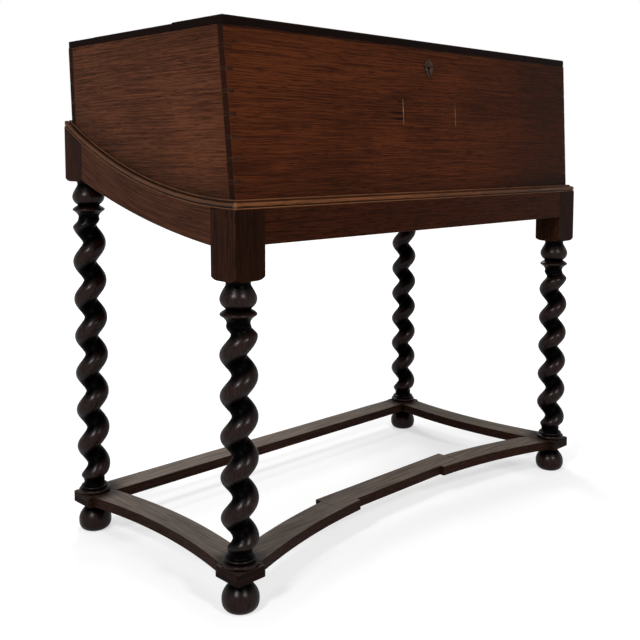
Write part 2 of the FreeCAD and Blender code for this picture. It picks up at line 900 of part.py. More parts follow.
for side in SIDES:
    name = f"{side}_end_panel"
    slab = cut(f"{name}_slab", slabs[side], front_board, rear_board)
    whole = fuse(f"{name}_whole", slab, corner_pins["front", side], corner_pins["rear", side])
    piece(name, common(name, whole, panel_reach))

rear_tails = cut("rear_panel_tails", rear_board, *(corner_pins["rear", side] for side in SIDES))
piece("rear_panel", common("rear_panel", rear_tails, panel_reach))
front_tails = cut("front_panel_tails", front_board, *(corner_pins["front", side] for side in SIDES))
front_panel_blank = common("front_panel_blank", front_tails, panel_reach)

# Bottom: boards along the box, planed to the saddle and nailed under the panels

bottom_outer = rod("bottom_outer", "x", saddle_radius - s.scribe_gap, saddle_centre, across_all)
bottom_inner = rod("bottom_inner", "x", boards_top, saddle_centre, across_all)
bottom_sheet = common("bottom_sheet", cut("bottom_ring", bottom_outer, bottom_inner), box_hull)
board_depth = (box_back - box_front) / BOTTOM_BOARDS
for k in range(BOTTOM_BOARDS):
    near = box_front + board_depth * k
    y = (near, near + board_depth - s.scribe_gap)
    strip = block(f"bottom_board_{k + 1}_strip", across_all, y, (s.saddle_height, box_top))
    piece(f"bottom_board_{k + 1}", common(f"bottom_board_{k + 1}", bottom_sheet, strip))

# Top: a fixed strip at the back and a lid of two boards, joined by two butt hinges

hinge_y = box_back - s.strip_depth - s.lid_joint / 2
strip_front = hinge_y + s.lid_joint / 2
lid_back = hinge_y - s.lid_joint / 2
lid_foot = box_top + s.running_gap
lid_top = lid_foot + s.lid_thickness
hinge_z = lid_top + s.hinge_axis_rise
lid_half = box_top_half - s.lid_end_inset
lid_split = box_top_front + s.lid_front_depth
hinge_place = lid_half - s.hinge_inset
knuckle_third = s.hinge_length / 3
knuckle_clear = s.knuckle_radius + s.running_gap
leaf_foot = lid_foot + s.hinge_leaf_foot

strip_cuts = []
lid_cuts = []
for side, way in SIDES.items():
    name = f"{side}_hinge"
    middle_x = hinge_place * way
    left = middle_x - s.hinge_length / 2
    ends = [left + knuckle_third * k for k in range(4)]
    axis = (hinge_y, hinge_z)
    pin = rod(f"{name}_pin", "x", s.hinge_pin_radius, axis, (left, ends[3]))
    pin_hole = rod(f"{name}_pin_hole", "x", s.hinge_pin_radius + s.hinge_fit, axis, (left, ends[3]))
    knuckles = [
        rod(f"{name}_knuckle_{k}", "x", s.knuckle_radius, axis, (ends[k], ends[k + 1])) for k in (0, 2)
    ]
    gap = s.running_gap
    lid_knuckle = rod(f"{name}_knuckle_1", "x", s.knuckle_radius, axis, (ends[1] + gap, ends[2] - gap))
    middle_space = rod(f"{name}_middle_space", "x", knuckle_clear, axis, (ends[1], ends[2]))
    outer_spaces = [
        rod(f"{name}_left_space", "x", knuckle_clear, axis, (left - gap, ends[1] + gap)),
        rod(f"{name}_right_space", "x", knuckle_clear, axis, (ends[2] - gap, ends[3] + gap)),
    ]
    whole_space = rod(f"{name}_space", "x", knuckle_clear, axis, (left - gap, ends[3] + gap))
    x = (left, ends[3])
    z = (leaf_foot, hinge_z)
    fixed_y = (strip_front, strip_front + s.hinge_leaf)
    lid_y = (lid_back - s.hinge_leaf, lid_back)
    fixed_plate = block(f"{name}_strip_plate", x, fixed_y, z)
    lid_plate = block(f"{name}_lid_plate", x, lid_y, z)
    fixed_flat = cut(f"{name}_strip_flat", fixed_plate, middle_space)
    piece(f"{name}_strip_leaf", fuse(f"{name}_strip_leaf", fixed_flat, *knuckles, pin))
    lid_flat = cut(f"{name}_lid_flat", lid_plate, *outer_spaces)
    lid_whole = fuse(f"{name}_lid_whole", lid_flat, lid_knuckle)
    piece(f"{name}_lid_leaf", cut(f"{name}_lid_leaf", lid_whole, pin_hole))
    fixed_seat = block(f"{name}_strip_seat", x, fixed_y, (leaf_foot, hinge_z + s.overrun))
    lid_seat = block(f"{name}_lid_seat", x, lid_y, (leaf_foot, hinge_z + s.overrun))
    strip_cuts += [fixed_seat, whole_space]
    lid_cuts += [lid_seat, whole_space]

strip_top = box_top + s.strip_thickness
strip_board = block("top_strip_board", (-lid_half, lid_half), (strip_front, box_back), (box_top, strip_top))
piece("top_strip", cut("top_strip", strip_board, *strip_cuts))
rear_lid_board = block("lid_rear_plain", (-lid_half, lid_half), (lid_split, lid_back), (lid_foot, lid_top))
piece("lid_rear_board", cut("lid_rear_board", rear_lid_board, *lid_cuts))

front_top = lid_foot + s.lid_front_thickness
turn_share = 1 - math.sin(math.radians(EIGHTH_TURN))
front_lid = prism(
    "lid_front_plain",
    "YZ_Plane",
    lid_half * 2,
    (box_top_front, lid_foot),
    ((lid_split, lid_foot),),
    ((lid_split, front_top),),
    ((box_top_front + s.lid_front_round, front_top),),
    (
        (box_top_front + s.lid_front_round * turn_share, front_top - s.lid_front_round * turn_share),
        (box_top_front, front_top - s.lid_front_round),
    ),
)
place(front_lid, -lid_half, 0, 0)

# Lock: a case and its cap let into the front panel, a sliding bolt with two fingers, a link plate on the lid

lock_front = box_top_front + s.panel_thickness - s.lock_letting
lock_back = lock_front + s.lock_thickness
lock_middle = lock_front + s.lock_thickness / 2
lock_half = s.lock_width / 2
lock_foot = box_top - s.lock_height
bolt_half = s.bolt_thickness / 2
bolt_room = bolt_half + s.running_gap
case_back = lock_middle + bolt_room
bolt_foot = box_top - s.bolt_foot_drop
eye_foot = lid_foot - s.staple_depth + s.staple_eye_foot
finger_foot = eye_foot + (s.staple_eye_height - s.finger_height) / 2
finger_top = finger_foot + s.finger_height
key_height = box_top - s.key_drop
lock_x = (-lock_half, lock_half)
lock_z = (lock_foot, box_top)

key_hole = rod("key_hole", "y", s.key_radius, (0, key_height), (box_front - s.overrun, case_back))
key_slot = block(
    "key_slot",
    (-s.key_slot_width / 2, s.key_slot_width / 2),
    (box_front - s.overrun, case_back),
    (key_height - s.key_slot_length, key_height),
)
staple_slots = [
    block(
        f"{side}_staple_slot",
        (
            s.staple_place * way - s.staple_thickness / 2 - s.running_gap,
            s.staple_place * way + s.staple_thickness / 2 + s.running_gap,
        ),
        (
            lock_middle - s.staple_width / 2 - s.staple_clearance,
            lock_middle + s.staple_width / 2 + s.staple_clearance,
        ),
        (lid_foot - s.staple_depth - s.running_gap, box_top + s.overrun),
    )
    for side, way in SIDES.items()
]
bolt_span = (-s.bolt_rest_end, s.bolt_length - s.bolt_rest_end)
bolt_space = block(
    "bolt_space",
    (bolt_span[0] - s.running_gap, bolt_span[1] + s.bolt_travel + s.running_gap),
    (lock_middle - bolt_room, lock_middle + bolt_room),
    (bolt_foot - s.running_gap, finger_top + s.running_gap),
)
key_space = rod(
    "key_space", "y", s.key_sweep, (0, key_height), (lock_middle - bolt_room, lock_middle + bolt_room)
)
case_block = block("lock_case_block", lock_x, (lock_front, case_back), lock_z)
piece(
    "lock_case",
    cut("lock_case", case_block, bolt_space, key_space, key_hole, key_slot, *staple_slots),
)
cap_block = block("lock_cap_block", lock_x, (case_back, lock_back), lock_z)
cap_plate = cut("lock_cap_plate", cap_block, *staple_slots)
key_pin = rod("lock_key_pin", "y", s.key_pin_radius, (0, key_height), (lock_front, case_back))
piece("lock_cap", fuse("lock_cap", cap_plate, key_pin))

bolt_y = (lock_middle - bolt_half, lock_middle + bolt_half)
bolt_parts = [block("bolt_bar", bolt_span, bolt_y, (bolt_foot, bolt_foot + s.bolt_height))]
for side, way in SIDES.items():
    near_staple = s.staple_place * way - s.staple_thickness / 2
    tip = near_staple - s.running_gap * 2
    rear_end = tip - s.finger_reach
    bolt_parts.append(block(f"{side}_finger", (rear_end, tip), bolt_y, (finger_foot, finger_top)))
    stem = (rear_end, rear_end + s.finger_stem)
    bolt_parts.append(block(f"{side}_stem", stem, bolt_y, (bolt_foot, finger_top)))
talon_x = -s.bolt_travel / 2
talon = rod("bolt_talon", "y", s.talon_radius, (talon_x, bolt_foot), (lock_front, lock_back))
piece("lock_bolt", cut("lock_bolt", fuse("bolt_whole", *bolt_parts), talon))

link_half = s.link_plate_length / 2
link_y = (lock_middle - s.link_plate_width / 2, lock_middle + s.link_plate_width / 2)
link_z = (lid_foot, lid_foot + s.link_plate_thickness)
link_block = block("link_plate_block", (-link_half, link_half), link_y, link_z)
link_parts = [link_block]
for side, way in SIDES.items():
    x = (s.staple_place * way - s.staple_thickness / 2, s.staple_place * way + s.staple_thickness / 2)
    half = s.staple_width / 2
    staple = block(
        f"{side}_staple", x, (lock_middle - half, lock_middle + half), (lid_foot - s.staple_depth, lid_foot)
    )
    eye_half = s.staple_eye_width / 2
    eye = block(
        f"{side}_eye",
        (x[0] - s.overrun, x[1] + s.overrun),
        (lock_middle - eye_half, lock_middle + eye_half),
        (eye_foot, eye_foot + s.staple_eye_height),
    )
    link_parts.append(cut(f"{side}_staple_loop", staple, eye))
piece("link_plate", fuse("link_plate", *link_parts))

link_seat = block("link_plate_seat", (-link_half, link_half), link_y, link_z)
piece("lid_front_board", cut("lid_front_board", front_lid, link_seat))
lock_seat = block("lock_seat", lock_x, (lock_front, lock_back), lock_z)
piece("front_panel", cut("front_panel", front_panel_blank, lock_seat, key_hole, key_slot))

# Keyhole plate: a thin shield on the sloping face of the front panel

half_wide = s.escutcheon_width / 2
half_high = s.escutcheon_height / 2
shoulder, crown, side_point, tip_point = (
    (half_wide * ESCUTCHEON_SHARES[k][0], half_high * ESCUTCHEON_SHARES[k][1])
    for k in ("shoulder", "crown", "side", "tip")
)
shield = prism(
    "escutcheon_shield",
    "XZ_Plane",
    s.escutcheon_thickness,
    shoulder,
    (crown, (-shoulder[0], shoulder[1])),
    ((-side_point[0], side_point[1]), tip_point),
    (side_point, shoulder),
)
shield_y = box_front + s.front_lean * ((key_height - s.saddle_height) / s.box_height)
place(shield, 0, shield_y, key_height, turn=(-X_AXIS, 1))
shield.setExpression("Placement.Rotation.Angle", "atan(Sizes.front_lean / Sizes.box_height)")
piece("escutcheon", cut("escutcheon", shield, key_hole, key_slot))

doc.recompute()

for thing in doc.Objects:
    if "Invalid" in thing.State or "Error" in thing.State:
        raise RuntimeError(f"{thing.Name} failed: {thing.State}")
for thing in pieces:
    if thing.Shape.isNull() or not thing.Shape.isValid() or not thing.Shape.Solids:
        raise RuntimeError(f"{thing.Label} has no sound solid")

os.makedirs("parts", exist_ok=True)
for thing in pieces:
    thing.Shape.exportStep(os.path.join("parts", f"{thing.Label}.step"))
print(len(pieces), "sub-parts")
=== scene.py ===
import math

import bpy
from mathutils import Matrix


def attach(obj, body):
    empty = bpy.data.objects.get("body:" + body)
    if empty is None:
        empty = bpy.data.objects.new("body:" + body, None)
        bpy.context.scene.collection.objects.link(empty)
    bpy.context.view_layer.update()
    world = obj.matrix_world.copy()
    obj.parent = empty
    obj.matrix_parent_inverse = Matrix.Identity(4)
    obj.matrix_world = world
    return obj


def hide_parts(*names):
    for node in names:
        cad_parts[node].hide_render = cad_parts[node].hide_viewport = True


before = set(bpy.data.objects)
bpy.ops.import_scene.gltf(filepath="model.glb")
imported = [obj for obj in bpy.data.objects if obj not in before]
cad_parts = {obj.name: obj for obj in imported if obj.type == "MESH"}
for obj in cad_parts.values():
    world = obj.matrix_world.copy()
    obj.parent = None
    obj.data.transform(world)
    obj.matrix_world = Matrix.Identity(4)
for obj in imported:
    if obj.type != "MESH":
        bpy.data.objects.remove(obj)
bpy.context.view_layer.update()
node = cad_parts

# ---------------------------------------------------------------- legs
# Four legs, each turned from one squared stick of oak: a block left square at the head,
# a bulb and a ring under it, a single barley twist cut by hand, and a collar on the pad.

MM = 0.001
LEG_SIDES = 64
LEG_X = 427.5 * MM
LEG_Y = 205.2 * MM
LEG_BLOCK = 56.0 * MM
TWIST_FOOT = 91.0 * MM
TWIST_STEP = 2.5 * MM
TWIST_RUN_OUT = 15.0 * MM
SHAFT_RADIUS = 18.1 * MM
# The rope's section: its mean radius, its swell to one side, and how far that swell is flattened.
ROPE_MIDDLE = 20.4 * MM
ROPE_SWELL = 8.6 * MM
ROPE_FLAT = 0.8 * MM
PAD_TOP = 68.0 * MM
BLOCK_ARRIS = 0.9 * MM
LEG_CRISP = 38
LEAST_STEP = 0.05 * MM
LEAST_GROWTH = 1e-5

# The lathe's sweep on the block's lower corners, in mm: radius and height, its foot and its top.
SWEEP_FOOT = (27.0, -0.4)
SWEEP_TOP = (41.2, 260.0)
SWEEP_RADIUS = 28.4
SWEEP_WIDTH = 12.6
SWEEP_HEIGHT = 11.8
SWEEP_STEPS = 10
SWEEP_SIDES = 96

# Radius and height above the pad, in mm; a repeated spot is a sharp turn.
COLLAR = [
    [(20.0, -2.0), (24.0, 0.0)],
    [(24.0, 0.0), (26.7, 1.6), (27.3, 4.4), (26.4, 7.0), (23.2, 8.6)],
    [(23.2, 8.6), (21.4, 9.2), (22.8, 10.2), (23.3, 11.6), (22.4, 13.0), (20.4, 13.7)],
    [(20.4, 13.7), (18.6, 15.4), (17.9, 18.4), (18.0, 22.0)],
]
# Radius and height below the block, in mm, from the twist up.
HEAD = [
    [(18.4, 66.0), (17.4, 62.4), (18.4, 58.4), (22.0, 54.2), (25.6, 51.6)],
    [(25.6, 51.6), (27.0, 50.4), (27.4, 49.0), (26.8, 47.6), (24.4, 45.4), (20.8, 43.2), (18.2, 41.2)],
    [(18.2, 41.2), (21.4, 38.8), (25.2, 34.6), (27.2, 29.4), (27.2, 24.4), (25.2, 18.6), (21.8, 12.4),
     (19.0, 7.6), (18.4, 4.4), (19.2, 1.4), (20.4, -1.0), (20.4, -8.0)],
]


def clear_selection():
    """Nothing selected, in object mode."""
    bpy.ops.object.select_all(action="DESELECT")


def curve_through(spots, steps=3):
    """More spots on the smooth line through the given ones."""
    line = []
    for i in range(len(spots) - 1):
        before = spots[max(i - 1, 0)]
        here, there = spots[i], spots[i + 1]
        after = spots[min(i + 2, len(spots) - 1)]
        for k in range(steps):
            t = k / steps
            line.append(tuple(
                0.5 * (
                    2 * b + (c - a) * t + (2 * a - 5 * b + 4 * c - d) * t * t
                    + (3 * b - a - 3 * c + d) * t ** 3
                )
                for a, b, c, d in zip(before, here, there, after)
            ))
    line.append(spots[-1])
    return line


def turned_line(parts, height, way):
    """Rings of a turning: radius and height in metres, from its named curves."""
    rings = []
    for part in parts:
        for radius, z in curve_through(part):
            ring = (radius * MM, height + way * z * MM)
            if not rings or math.dist(ring, rings[-1]) > LEAST_STEP:
                rings.append(ring)
    return rings


def turning(name, rings, sides=LEG_SIDES):
    """A closed turning, grown ring by ring from a filled circle: radius, height and the ring's middle."""
    clear_selection()
    radius, z, x, y = rings[0]
    bpy.ops.mesh.primitive_circle_add(vertices=sides, radius=radius, fill_type="NGON", location=(x, y, z))
    piece = bpy.context.object
    piece.name = name
    bpy.ops.object.transform_apply(location=True, rotation=True, scale=True)
    bpy.ops.object.mode_set(mode="EDIT")
    bpy.ops.mesh.select_all(action="SELECT")
    for low, high in zip(rings, rings[1:]):
        move = (high[2] - low[2], high[3] - low[3], high[1] - low[1])
        bpy.ops.mesh.extrude_region_move(TRANSFORM_OT_translate={"value": move})
        grow = high[0] / low[0]
        if abs(grow - 1) > LEAST_GROWTH:
            middle = (high[2], high[3], high[1])
            bpy.ops.transform.resize(value=(grow, grow, 1), center_override=middle)
    bpy.ops.mesh.select_all(action="SELECT")
    bpy.ops.mesh.normals_make_consistent(inside=False)
    bpy.ops.object.mode_set(mode="OBJECT")
    return piece


def combine(piece, other, operation):
    """Cuts, joins or limits a piece by another one, which goes."""
    clear_selection()
    piece.select_set(True)
    bpy.context.view_layer.objects.active = piece
    work = piece.modifiers.new("combine", "BOOLEAN")
    work.operation = operation
    work.solver = "EXACT"
    work.object = other
    bpy.ops.object.modifier_apply(modifier=work.name)
    bpy.data.objects.remove(other)


def smooth(piece, degrees):
    """Soft shading over curves, crisp at arrises."""
    clear_selection()
    piece.select_set(True)
    bpy.context.view_layer.objects.active = piece
    bpy.ops.object.shade_smooth_by_angle(angle=math.radians(degrees))


def ease(t):
    """From 0 to 1 with a slow start and end."""
    t = min(max(t, 0.0), 1.0)
    return t * t * (3 - 2 * t)


def shaft_rings(foot, head):
    """Rings of the plain round shaft that the twist is cut from."""
    count = round((head - foot) / TWIST_STEP)
    return [(SHAFT_RADIUS, foot + (head - foot) * i / count, 0, 0) for i in range(1, count)]


def cut_twist(leg, foot, head, pitch, start):
    """Cuts the rope into the shaft: full round swells, a narrow hollow between them, run out at both ends."""
    for spot in leg.data.vertices:
        x, y, z = spot.co
        if foot < z < head:
            full = min(ease((z - foot) / TWIST_RUN_OUT), ease((head - z) / TWIST_RUN_OUT))
            turn = math.atan2(y, x) - 2 * math.pi * (start + (z - TWIST_FOOT) / pitch)
            rope = ROPE_MIDDLE + ROPE_SWELL * math.cos(turn) - ROPE_FLAT * math.cos(2 * turn)
            radius = math.hypot(x, y)
            grow = 1 + (rope / radius - 1) * full
            spot.co = (x * grow, y * grow, z)


def leg_block(name, foot, outer_top, inner_top, way):
    """The square block: its lower corners rounded by the lathe, its top cut to the rails' curve."""
    clear_selection()
    bpy.ops.mesh.primitive_cube_add(size=1, location=(0, 0, foot + (outer_top - foot) / 2))
    block = bpy.context.object
    block.name = name
    block.scale = (LEG_BLOCK, LEG_BLOCK, outer_top - foot)
    bpy.ops.object.transform_apply(location=True, rotation=True, scale=True)
    bpy.ops.object.mode_set(mode="EDIT")
    bpy.ops.mesh.select_all(action="SELECT")
    half = LEG_BLOCK / 2
    slope = (outer_top - inner_top) / LEG_BLOCK * way
    bpy.ops.mesh.bisect(
        plane_co=(0, half * way, outer_top), plane_no=(0, -slope, 1), use_fill=True, clear_outer=True
    )
    bpy.ops.object.mode_set(mode="OBJECT")
    soften = block.modifiers.new("arris", "BEVEL")
    soften.width = BLOCK_ARRIS
    soften.segments = 2
    soften.limit_method = "ANGLE"
    bpy.ops.object.modifier_apply(modifier=soften.name)
    sweep = [SWEEP_FOOT]
    for i in range(SWEEP_STEPS + 1):
        turn = math.pi / 2 * i / SWEEP_STEPS
        sweep.append((SWEEP_RADIUS + SWEEP_WIDTH * math.sin(turn), SWEEP_HEIGHT * (1 - math.cos(turn))))
    sweep.append(SWEEP_TOP)
    shape = turning("block_sweep", [(r * MM, foot + z * MM, 0, 0) for r, z in sweep], SWEEP_SIDES)
    combine(block, shape, "INTERSECT")
    return block


def put(piece, place=(0, 0, 0), turn=(0, 0, 0), size=(1, 1, 1)):
    """Moves, turns or mirrors a piece and writes its place into its mesh."""
    clear_selection()
    piece.location = place
    piece.rotation_euler = turn
    piece.scale = size
    piece.select_set(True)
    bpy.context.view_layer.objects.active = piece
    bpy.ops.object.transform_apply(location=True, rotation=True, scale=True)


# Side across and deep, the twist's pitch in mm and its start in turns, then the heights in mm
# of the block's foot and of its top at the outer and the inner edge.
LEGS = {
    "leg_front_left": (-1, -1, 60.6, 0.589, 491.0, 594.0, 595.7),
    "leg_front_right": (1, -1, 60.6, 0.452, 491.0, 594.0, 595.7),
    "leg_rear_left": (-1, 1, 66.2, 0.496, 624.0, 719.0, 689.1),
    "leg_rear_right": (1, 1, 61.4, 0.424, 624.0, 719.0, 689.1),
}

legs = {}
for name, (across, deep, pitch, start, block_foot, outer_top, inner_top) in LEGS.items():
    collar = turned_line(COLLAR, PAD_TOP, 1)
    head = turned_line(HEAD, block_foot * MM, -1)
    shaft = [(r, z, 0, 0) for r, z in collar]
    twist = (collar[-1][1], head[0][1])
    shaft += shaft_rings(*twist)
    shaft += [(r, z, 0, 0) for r, z in head]
    leg = turning(name + "_turned", shaft)
    cut_twist(leg, *twist, pitch * MM, start)
    block = leg_block(name + "_block", block_foot * MM, outer_top * MM, inner_top * MM, deep)
    combine(leg, block, "UNION")
    put(leg, (LEG_X * across, LEG_Y * deep, 0))
    smooth(leg, LEG_CRISP)
    even = leg.modifiers.new("even", "WEIGHTED_NORMAL")
    even.keep_sharp = True
    bpy.ops.object.modifier_apply(modifier=even.name)
    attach(leg, "stand")
    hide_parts(name)
    legs[name] = leg


def socket(group, name, kind, way, value=None):
    """A named input or output of a node group."""
    made = group.interface.new_socket(name=name, in_out=way, socket_type="NodeSocket" + kind)
    if value is not None:
        made.default_value = value


def feed(tree, target, value):
    """Sets an input or links it to an output."""
    if isinstance(value, bpy.types.NodeSocket):
        tree.links.new(value, target)
    else:
        target.default_value = value


def maths(tree, operation, a, b=0.0):
    """A sum worked out by the material."""
    made = tree.nodes.new("ShaderNodeMath")
    made.operation = operation
    feed(tree, made.inputs[0], a)
    feed(tree, made.inputs[1], b)
    return made.outputs[0]


def most(tree, first, *others):
    """The greatest of some values."""
    for other in others:
        first = maths(tree, "MAXIMUM", first, other)
    return first


def gap(tree, value, middle):
    """How far a value lies from a middle, to either side."""
    return maths(tree, "ABSOLUTE", maths(tree, "SUBTRACT", value, middle))


def diagonal(tree, a, b):
    """The length across a corner from its two sides."""
    return maths(tree, "SQRT", maths(tree, "ADD", maths(tree, "POWER", a, 2.0), maths(tree, "POWER", b, 2.0)))


def blended(tree, share, low, high):
    """Two colours mixed by a share."""
    made = tree.nodes.new("ShaderNodeMix")
    made.data_type = "RGBA"
    feed(tree, made.inputs[0], share)
    feed(tree, made.inputs[6], low)
    feed(tree, made.inputs[7], high)
    return made.outputs[2]


def ramp(tree, value, low, high, low_out=0.0, high_out=1.0):
    """A value spread from one range to another."""
    made = tree.nodes.new("ShaderNodeMapRange")
    made.interpolation_type = "SMOOTHSTEP"
    feed(tree, made.inputs[0], value)
    for i, number in enumerate((low, high, low_out, high_out)):
        feed(tree, made.inputs[i + 1], number)
    return made.outputs[0]


def stretched_noise(tree, place, along, across, detail=2.0, rough=0.55):
    """Noise drawn out along the grain: spots to the metre along and across it."""
    scale = tree.nodes.new("ShaderNodeVectorMath")
    scale.operation = "MULTIPLY"
    feed(tree, scale.inputs[0], place)
    scale.inputs[1].default_value = (along, across, across)
    noise = tree.nodes.new("ShaderNodeTexNoise")
    noise.inputs["Scale"].default_value = 1.0
    noise.inputs["Detail"].default_value = detail
    noise.inputs["Roughness"].default_value = rough
    feed(tree, noise.inputs["Vector"], scale.outputs[0])
    return noise.outputs["Fac"]


# The oak's figure: spots to the metre along and across the grain, detail and roughness.
BAND = (0.8, 15, 2.0)
STREAK = (6.0, 430, 3.0, 0.65)
FINE = (12.0, 600, 2.0, 0.6)
PORE_DASH = (42.0, 760, 1.0)
MOTTLE = (5.0, 9.0, 3.0)
BAND_SHARE = 0.18
STREAK_SHARE = 0.32
FINE_SHARE = 0.56
MOTTLE_SHARE = 0.24
GRAIN_DRIFT = 0.006
GRAIN_DEPTH = 0.4 * MM
POLISH_ROUGHNESS = 0.30


def make_oak_figure():
    """Old oak along the X of the place given: fine lines, open pores, dark end grain, dirt with painted
    shade, and wear with painted highlights.
    """
    tree = bpy.data.node_groups.new("oak_figure", "ShaderNodeTree")
    socket(tree, "Place", "Vector", "INPUT")
    socket(tree, "Facing", "Vector", "INPUT")
    socket(tree, "Light", "Color", "INPUT", (0.1, 0.04, 0.02, 1))
    socket(tree, "Deep", "Color", "INPUT", (0.03, 0.01, 0.006, 1))
    socket(tree, "Pore", "Color", "INPUT", (0.01, 0.004, 0.003, 1))
    socket(tree, "Worn", "Color", "INPUT", (0.2, 0.1, 0.06, 1))
    socket(tree, "Pores", "Float", "INPUT", 0.6)
    socket(tree, "End", "Float", "INPUT", 0.78)
    socket(tree, "Grime_and_shade", "Float", "INPUT", 0.0)
    socket(tree, "Rubbed_and_highlit", "Float", "INPUT", 0.0)
    socket(tree, "Color", "Color", "OUTPUT")
    socket(tree, "Roughness", "Float", "OUTPUT")
    socket(tree, "Height", "Float", "OUTPUT")
    given = tree.nodes.new("NodeGroupInput")
    out = tree.nodes.new("NodeGroupOutput")
    drift = tree.nodes.new("ShaderNodeTexNoise")
    drift.inputs["Scale"].default_value = 2.4
    drift.inputs["Detail"].default_value = 1.0
    feed(tree, drift.inputs["Vector"], given.outputs["Place"])
    shift = tree.nodes.new("ShaderNodeVectorMath")
    shift.operation = "MULTIPLY_ADD"
    feed(tree, shift.inputs[0], drift.outputs["Color"])
    shift.inputs[1].default_value = (0.0, GRAIN_DRIFT, GRAIN_DRIFT)
    feed(tree, shift.inputs[2], given.outputs["Place"])
    place = shift.outputs[0]
    band = stretched_noise(tree, place, *BAND)
    streak = stretched_noise(tree, place, *STREAK)
    fine = stretched_noise(tree, place, *FINE)
    pores = ramp(tree, stretched_noise(tree, place, *PORE_DASH), 0.54, 0.64)
    mottle = stretched_noise(tree, place, *MOTTLE)
    share = maths(tree, "MULTIPLY", band, BAND_SHARE)
    for noise, part in ((streak, STREAK_SHARE), (fine, FINE_SHARE), (mottle, MOTTLE_SHARE)):
        share = maths(tree, "ADD", share, maths(tree, "MULTIPLY", noise, part))
    share = ramp(tree, share, 0.52, 0.78)
    colour = blended(tree, share, given.outputs["Deep"], given.outputs["Light"])
    dark = maths(tree, "MULTIPLY", pores, given.outputs["Pores"])
    colour = blended(tree, dark, colour, given.outputs["Pore"])
    apart = tree.nodes.new("ShaderNodeSeparateXYZ")
    feed(tree, apart.inputs[0], given.outputs["Facing"])
    end = ramp(tree, maths(tree, "ABSOLUTE", apart.outputs[0]), 0.75, 0.93)
    end = maths(tree, "MULTIPLY", end, given.outputs["End"])
    colour = blended(tree, end, colour, given.outputs["Pore"])
    # darker toward the pore colour by the mask of dirt and painted shade
    colour = blended(tree, given.outputs["Grime_and_shade"], colour, given.outputs["Pore"])
    # lighter toward the worn colour by the mask of wear and painted highlights
    colour = blended(tree, given.outputs["Rubbed_and_highlit"], colour, given.outputs["Worn"])
    feed(tree, out.inputs["Color"], colour)
    gloss = maths(tree, "ADD", maths(tree, "MULTIPLY", pores, 0.12), maths(tree, "MULTIPLY", mottle, 0.16))
    feed(tree, out.inputs["Roughness"], maths(tree, "ADD", gloss, maths(tree, "MULTIPLY", end, 0.2)))
    relief = maths(tree, "SUBTRACT", maths(tree, "MULTIPLY", fine, 0.5), pores)
    feed(tree, out.inputs["Height"], relief)
    return tree


def make_arris_wear():
    """Where an arris has been rubbed: the edge found by rounding it, broken up along its run."""
    tree = bpy.data.node_groups.new("arris_wear", "ShaderNodeTree")
    socket(tree, "Place", "Vector", "INPUT")
    socket(tree, "Width", "Float", "INPUT", 0.0012)
    socket(tree, "Amount", "Float", "INPUT", 0.5)
    socket(tree, "Rubbed_and_highlit", "Float", "OUTPUT")
    given = tree.nodes.new("NodeGroupInput")
    out = tree.nodes.new("NodeGroupOutput")
    rounded = tree.nodes.new("ShaderNodeBevel")
    rounded.samples = 4
    feed(tree, rounded.inputs["Radius"], given.outputs["Width"])
    surface = tree.nodes.new("ShaderNodeNewGeometry")
    turned = tree.nodes.new("ShaderNodeVectorMath")
    turned.operation = "DOT_PRODUCT"
    feed(tree, turned.inputs[0], rounded.outputs["Normal"])
    feed(tree, turned.inputs[1], surface.outputs["True Normal"])
    edge = ramp(tree, turned.outputs["Value"], 0.985, 0.86)
    patch = stretched_noise(tree, given.outputs["Place"], 30.0, 60.0, 3.0)
    edge = maths(tree, "MULTIPLY", edge, ramp(tree, patch, 0.36, 0.62))
    feed(tree, out.inputs["Rubbed_and_highlit"], maths(tree, "MULTIPLY", edge, given.outputs["Amount"]))
    return tree


def make_dust_and_sheen():
    """Dusty colour and dry wax on faces that look up, in patches, also lighter there as a painted sheen of
    light from above.
    """
    tree = bpy.data.node_groups.new("dust_and_sheen_group", "ShaderNodeTree")
    socket(tree, "Color", "Color", "INPUT", (0.05, 0.03, 0.02, 1))
    socket(tree, "Place", "Vector", "INPUT")
    socket(tree, "Facing", "Vector", "INPUT")
    socket(tree, "Dust", "Color", "INPUT", (0.15, 0.13, 0.11, 1))
    socket(tree, "Amount", "Float", "INPUT", 0.5)
    socket(tree, "Color", "Color", "OUTPUT")
    given = tree.nodes.new("NodeGroupInput")
    out = tree.nodes.new("NodeGroupOutput")
    apart = tree.nodes.new("ShaderNodeSeparateXYZ")
    feed(tree, apart.inputs[0], given.outputs["Facing"])
    level = ramp(tree, apart.outputs[2], 0.55, 0.92)
    patch = stretched_noise(tree, given.outputs["Place"], 9.0, 190.0, 4.0, 0.65)
    patch = ramp(tree, patch, 0.36, 0.64, 0.45, 1.0)
    cover = maths(tree, "MULTIPLY", maths(tree, "MULTIPLY", level, patch), given.outputs["Amount"])
    feed(tree, out.inputs["Color"], blended(tree, cover, given.outputs["Color"], given.outputs["Dust"]))
    return tree


oak_figure = make_oak_figure()
arris_wear = make_arris_wear()
dust_and_sheen_group = make_dust_and_sheen()
ALONG_X = (0, 0, 0)
ALONG_Y = (0, 0, -math.pi / 2)
ALONG_Z = (0, math.pi / 2, 0)


def srgb(red, green, blue):
    """A colour as seen on a screen, 0 to 255, in linear light."""
    def linear(value):
        value = value / 255
        return value / 12.92 if value <= 0.04045 else ((value + 0.055) / 1.055) ** 2.4
    return (linear(red), linear(green), linear(blue), 1)


def group_in(tree, group, **values):
    """A node group placed in a material, its inputs set or linked."""
    made = tree.nodes.new("ShaderNodeGroup")
    made.node_tree = group
    for name, value in values.items():
        feed(tree, made.inputs[name], value)
    return made


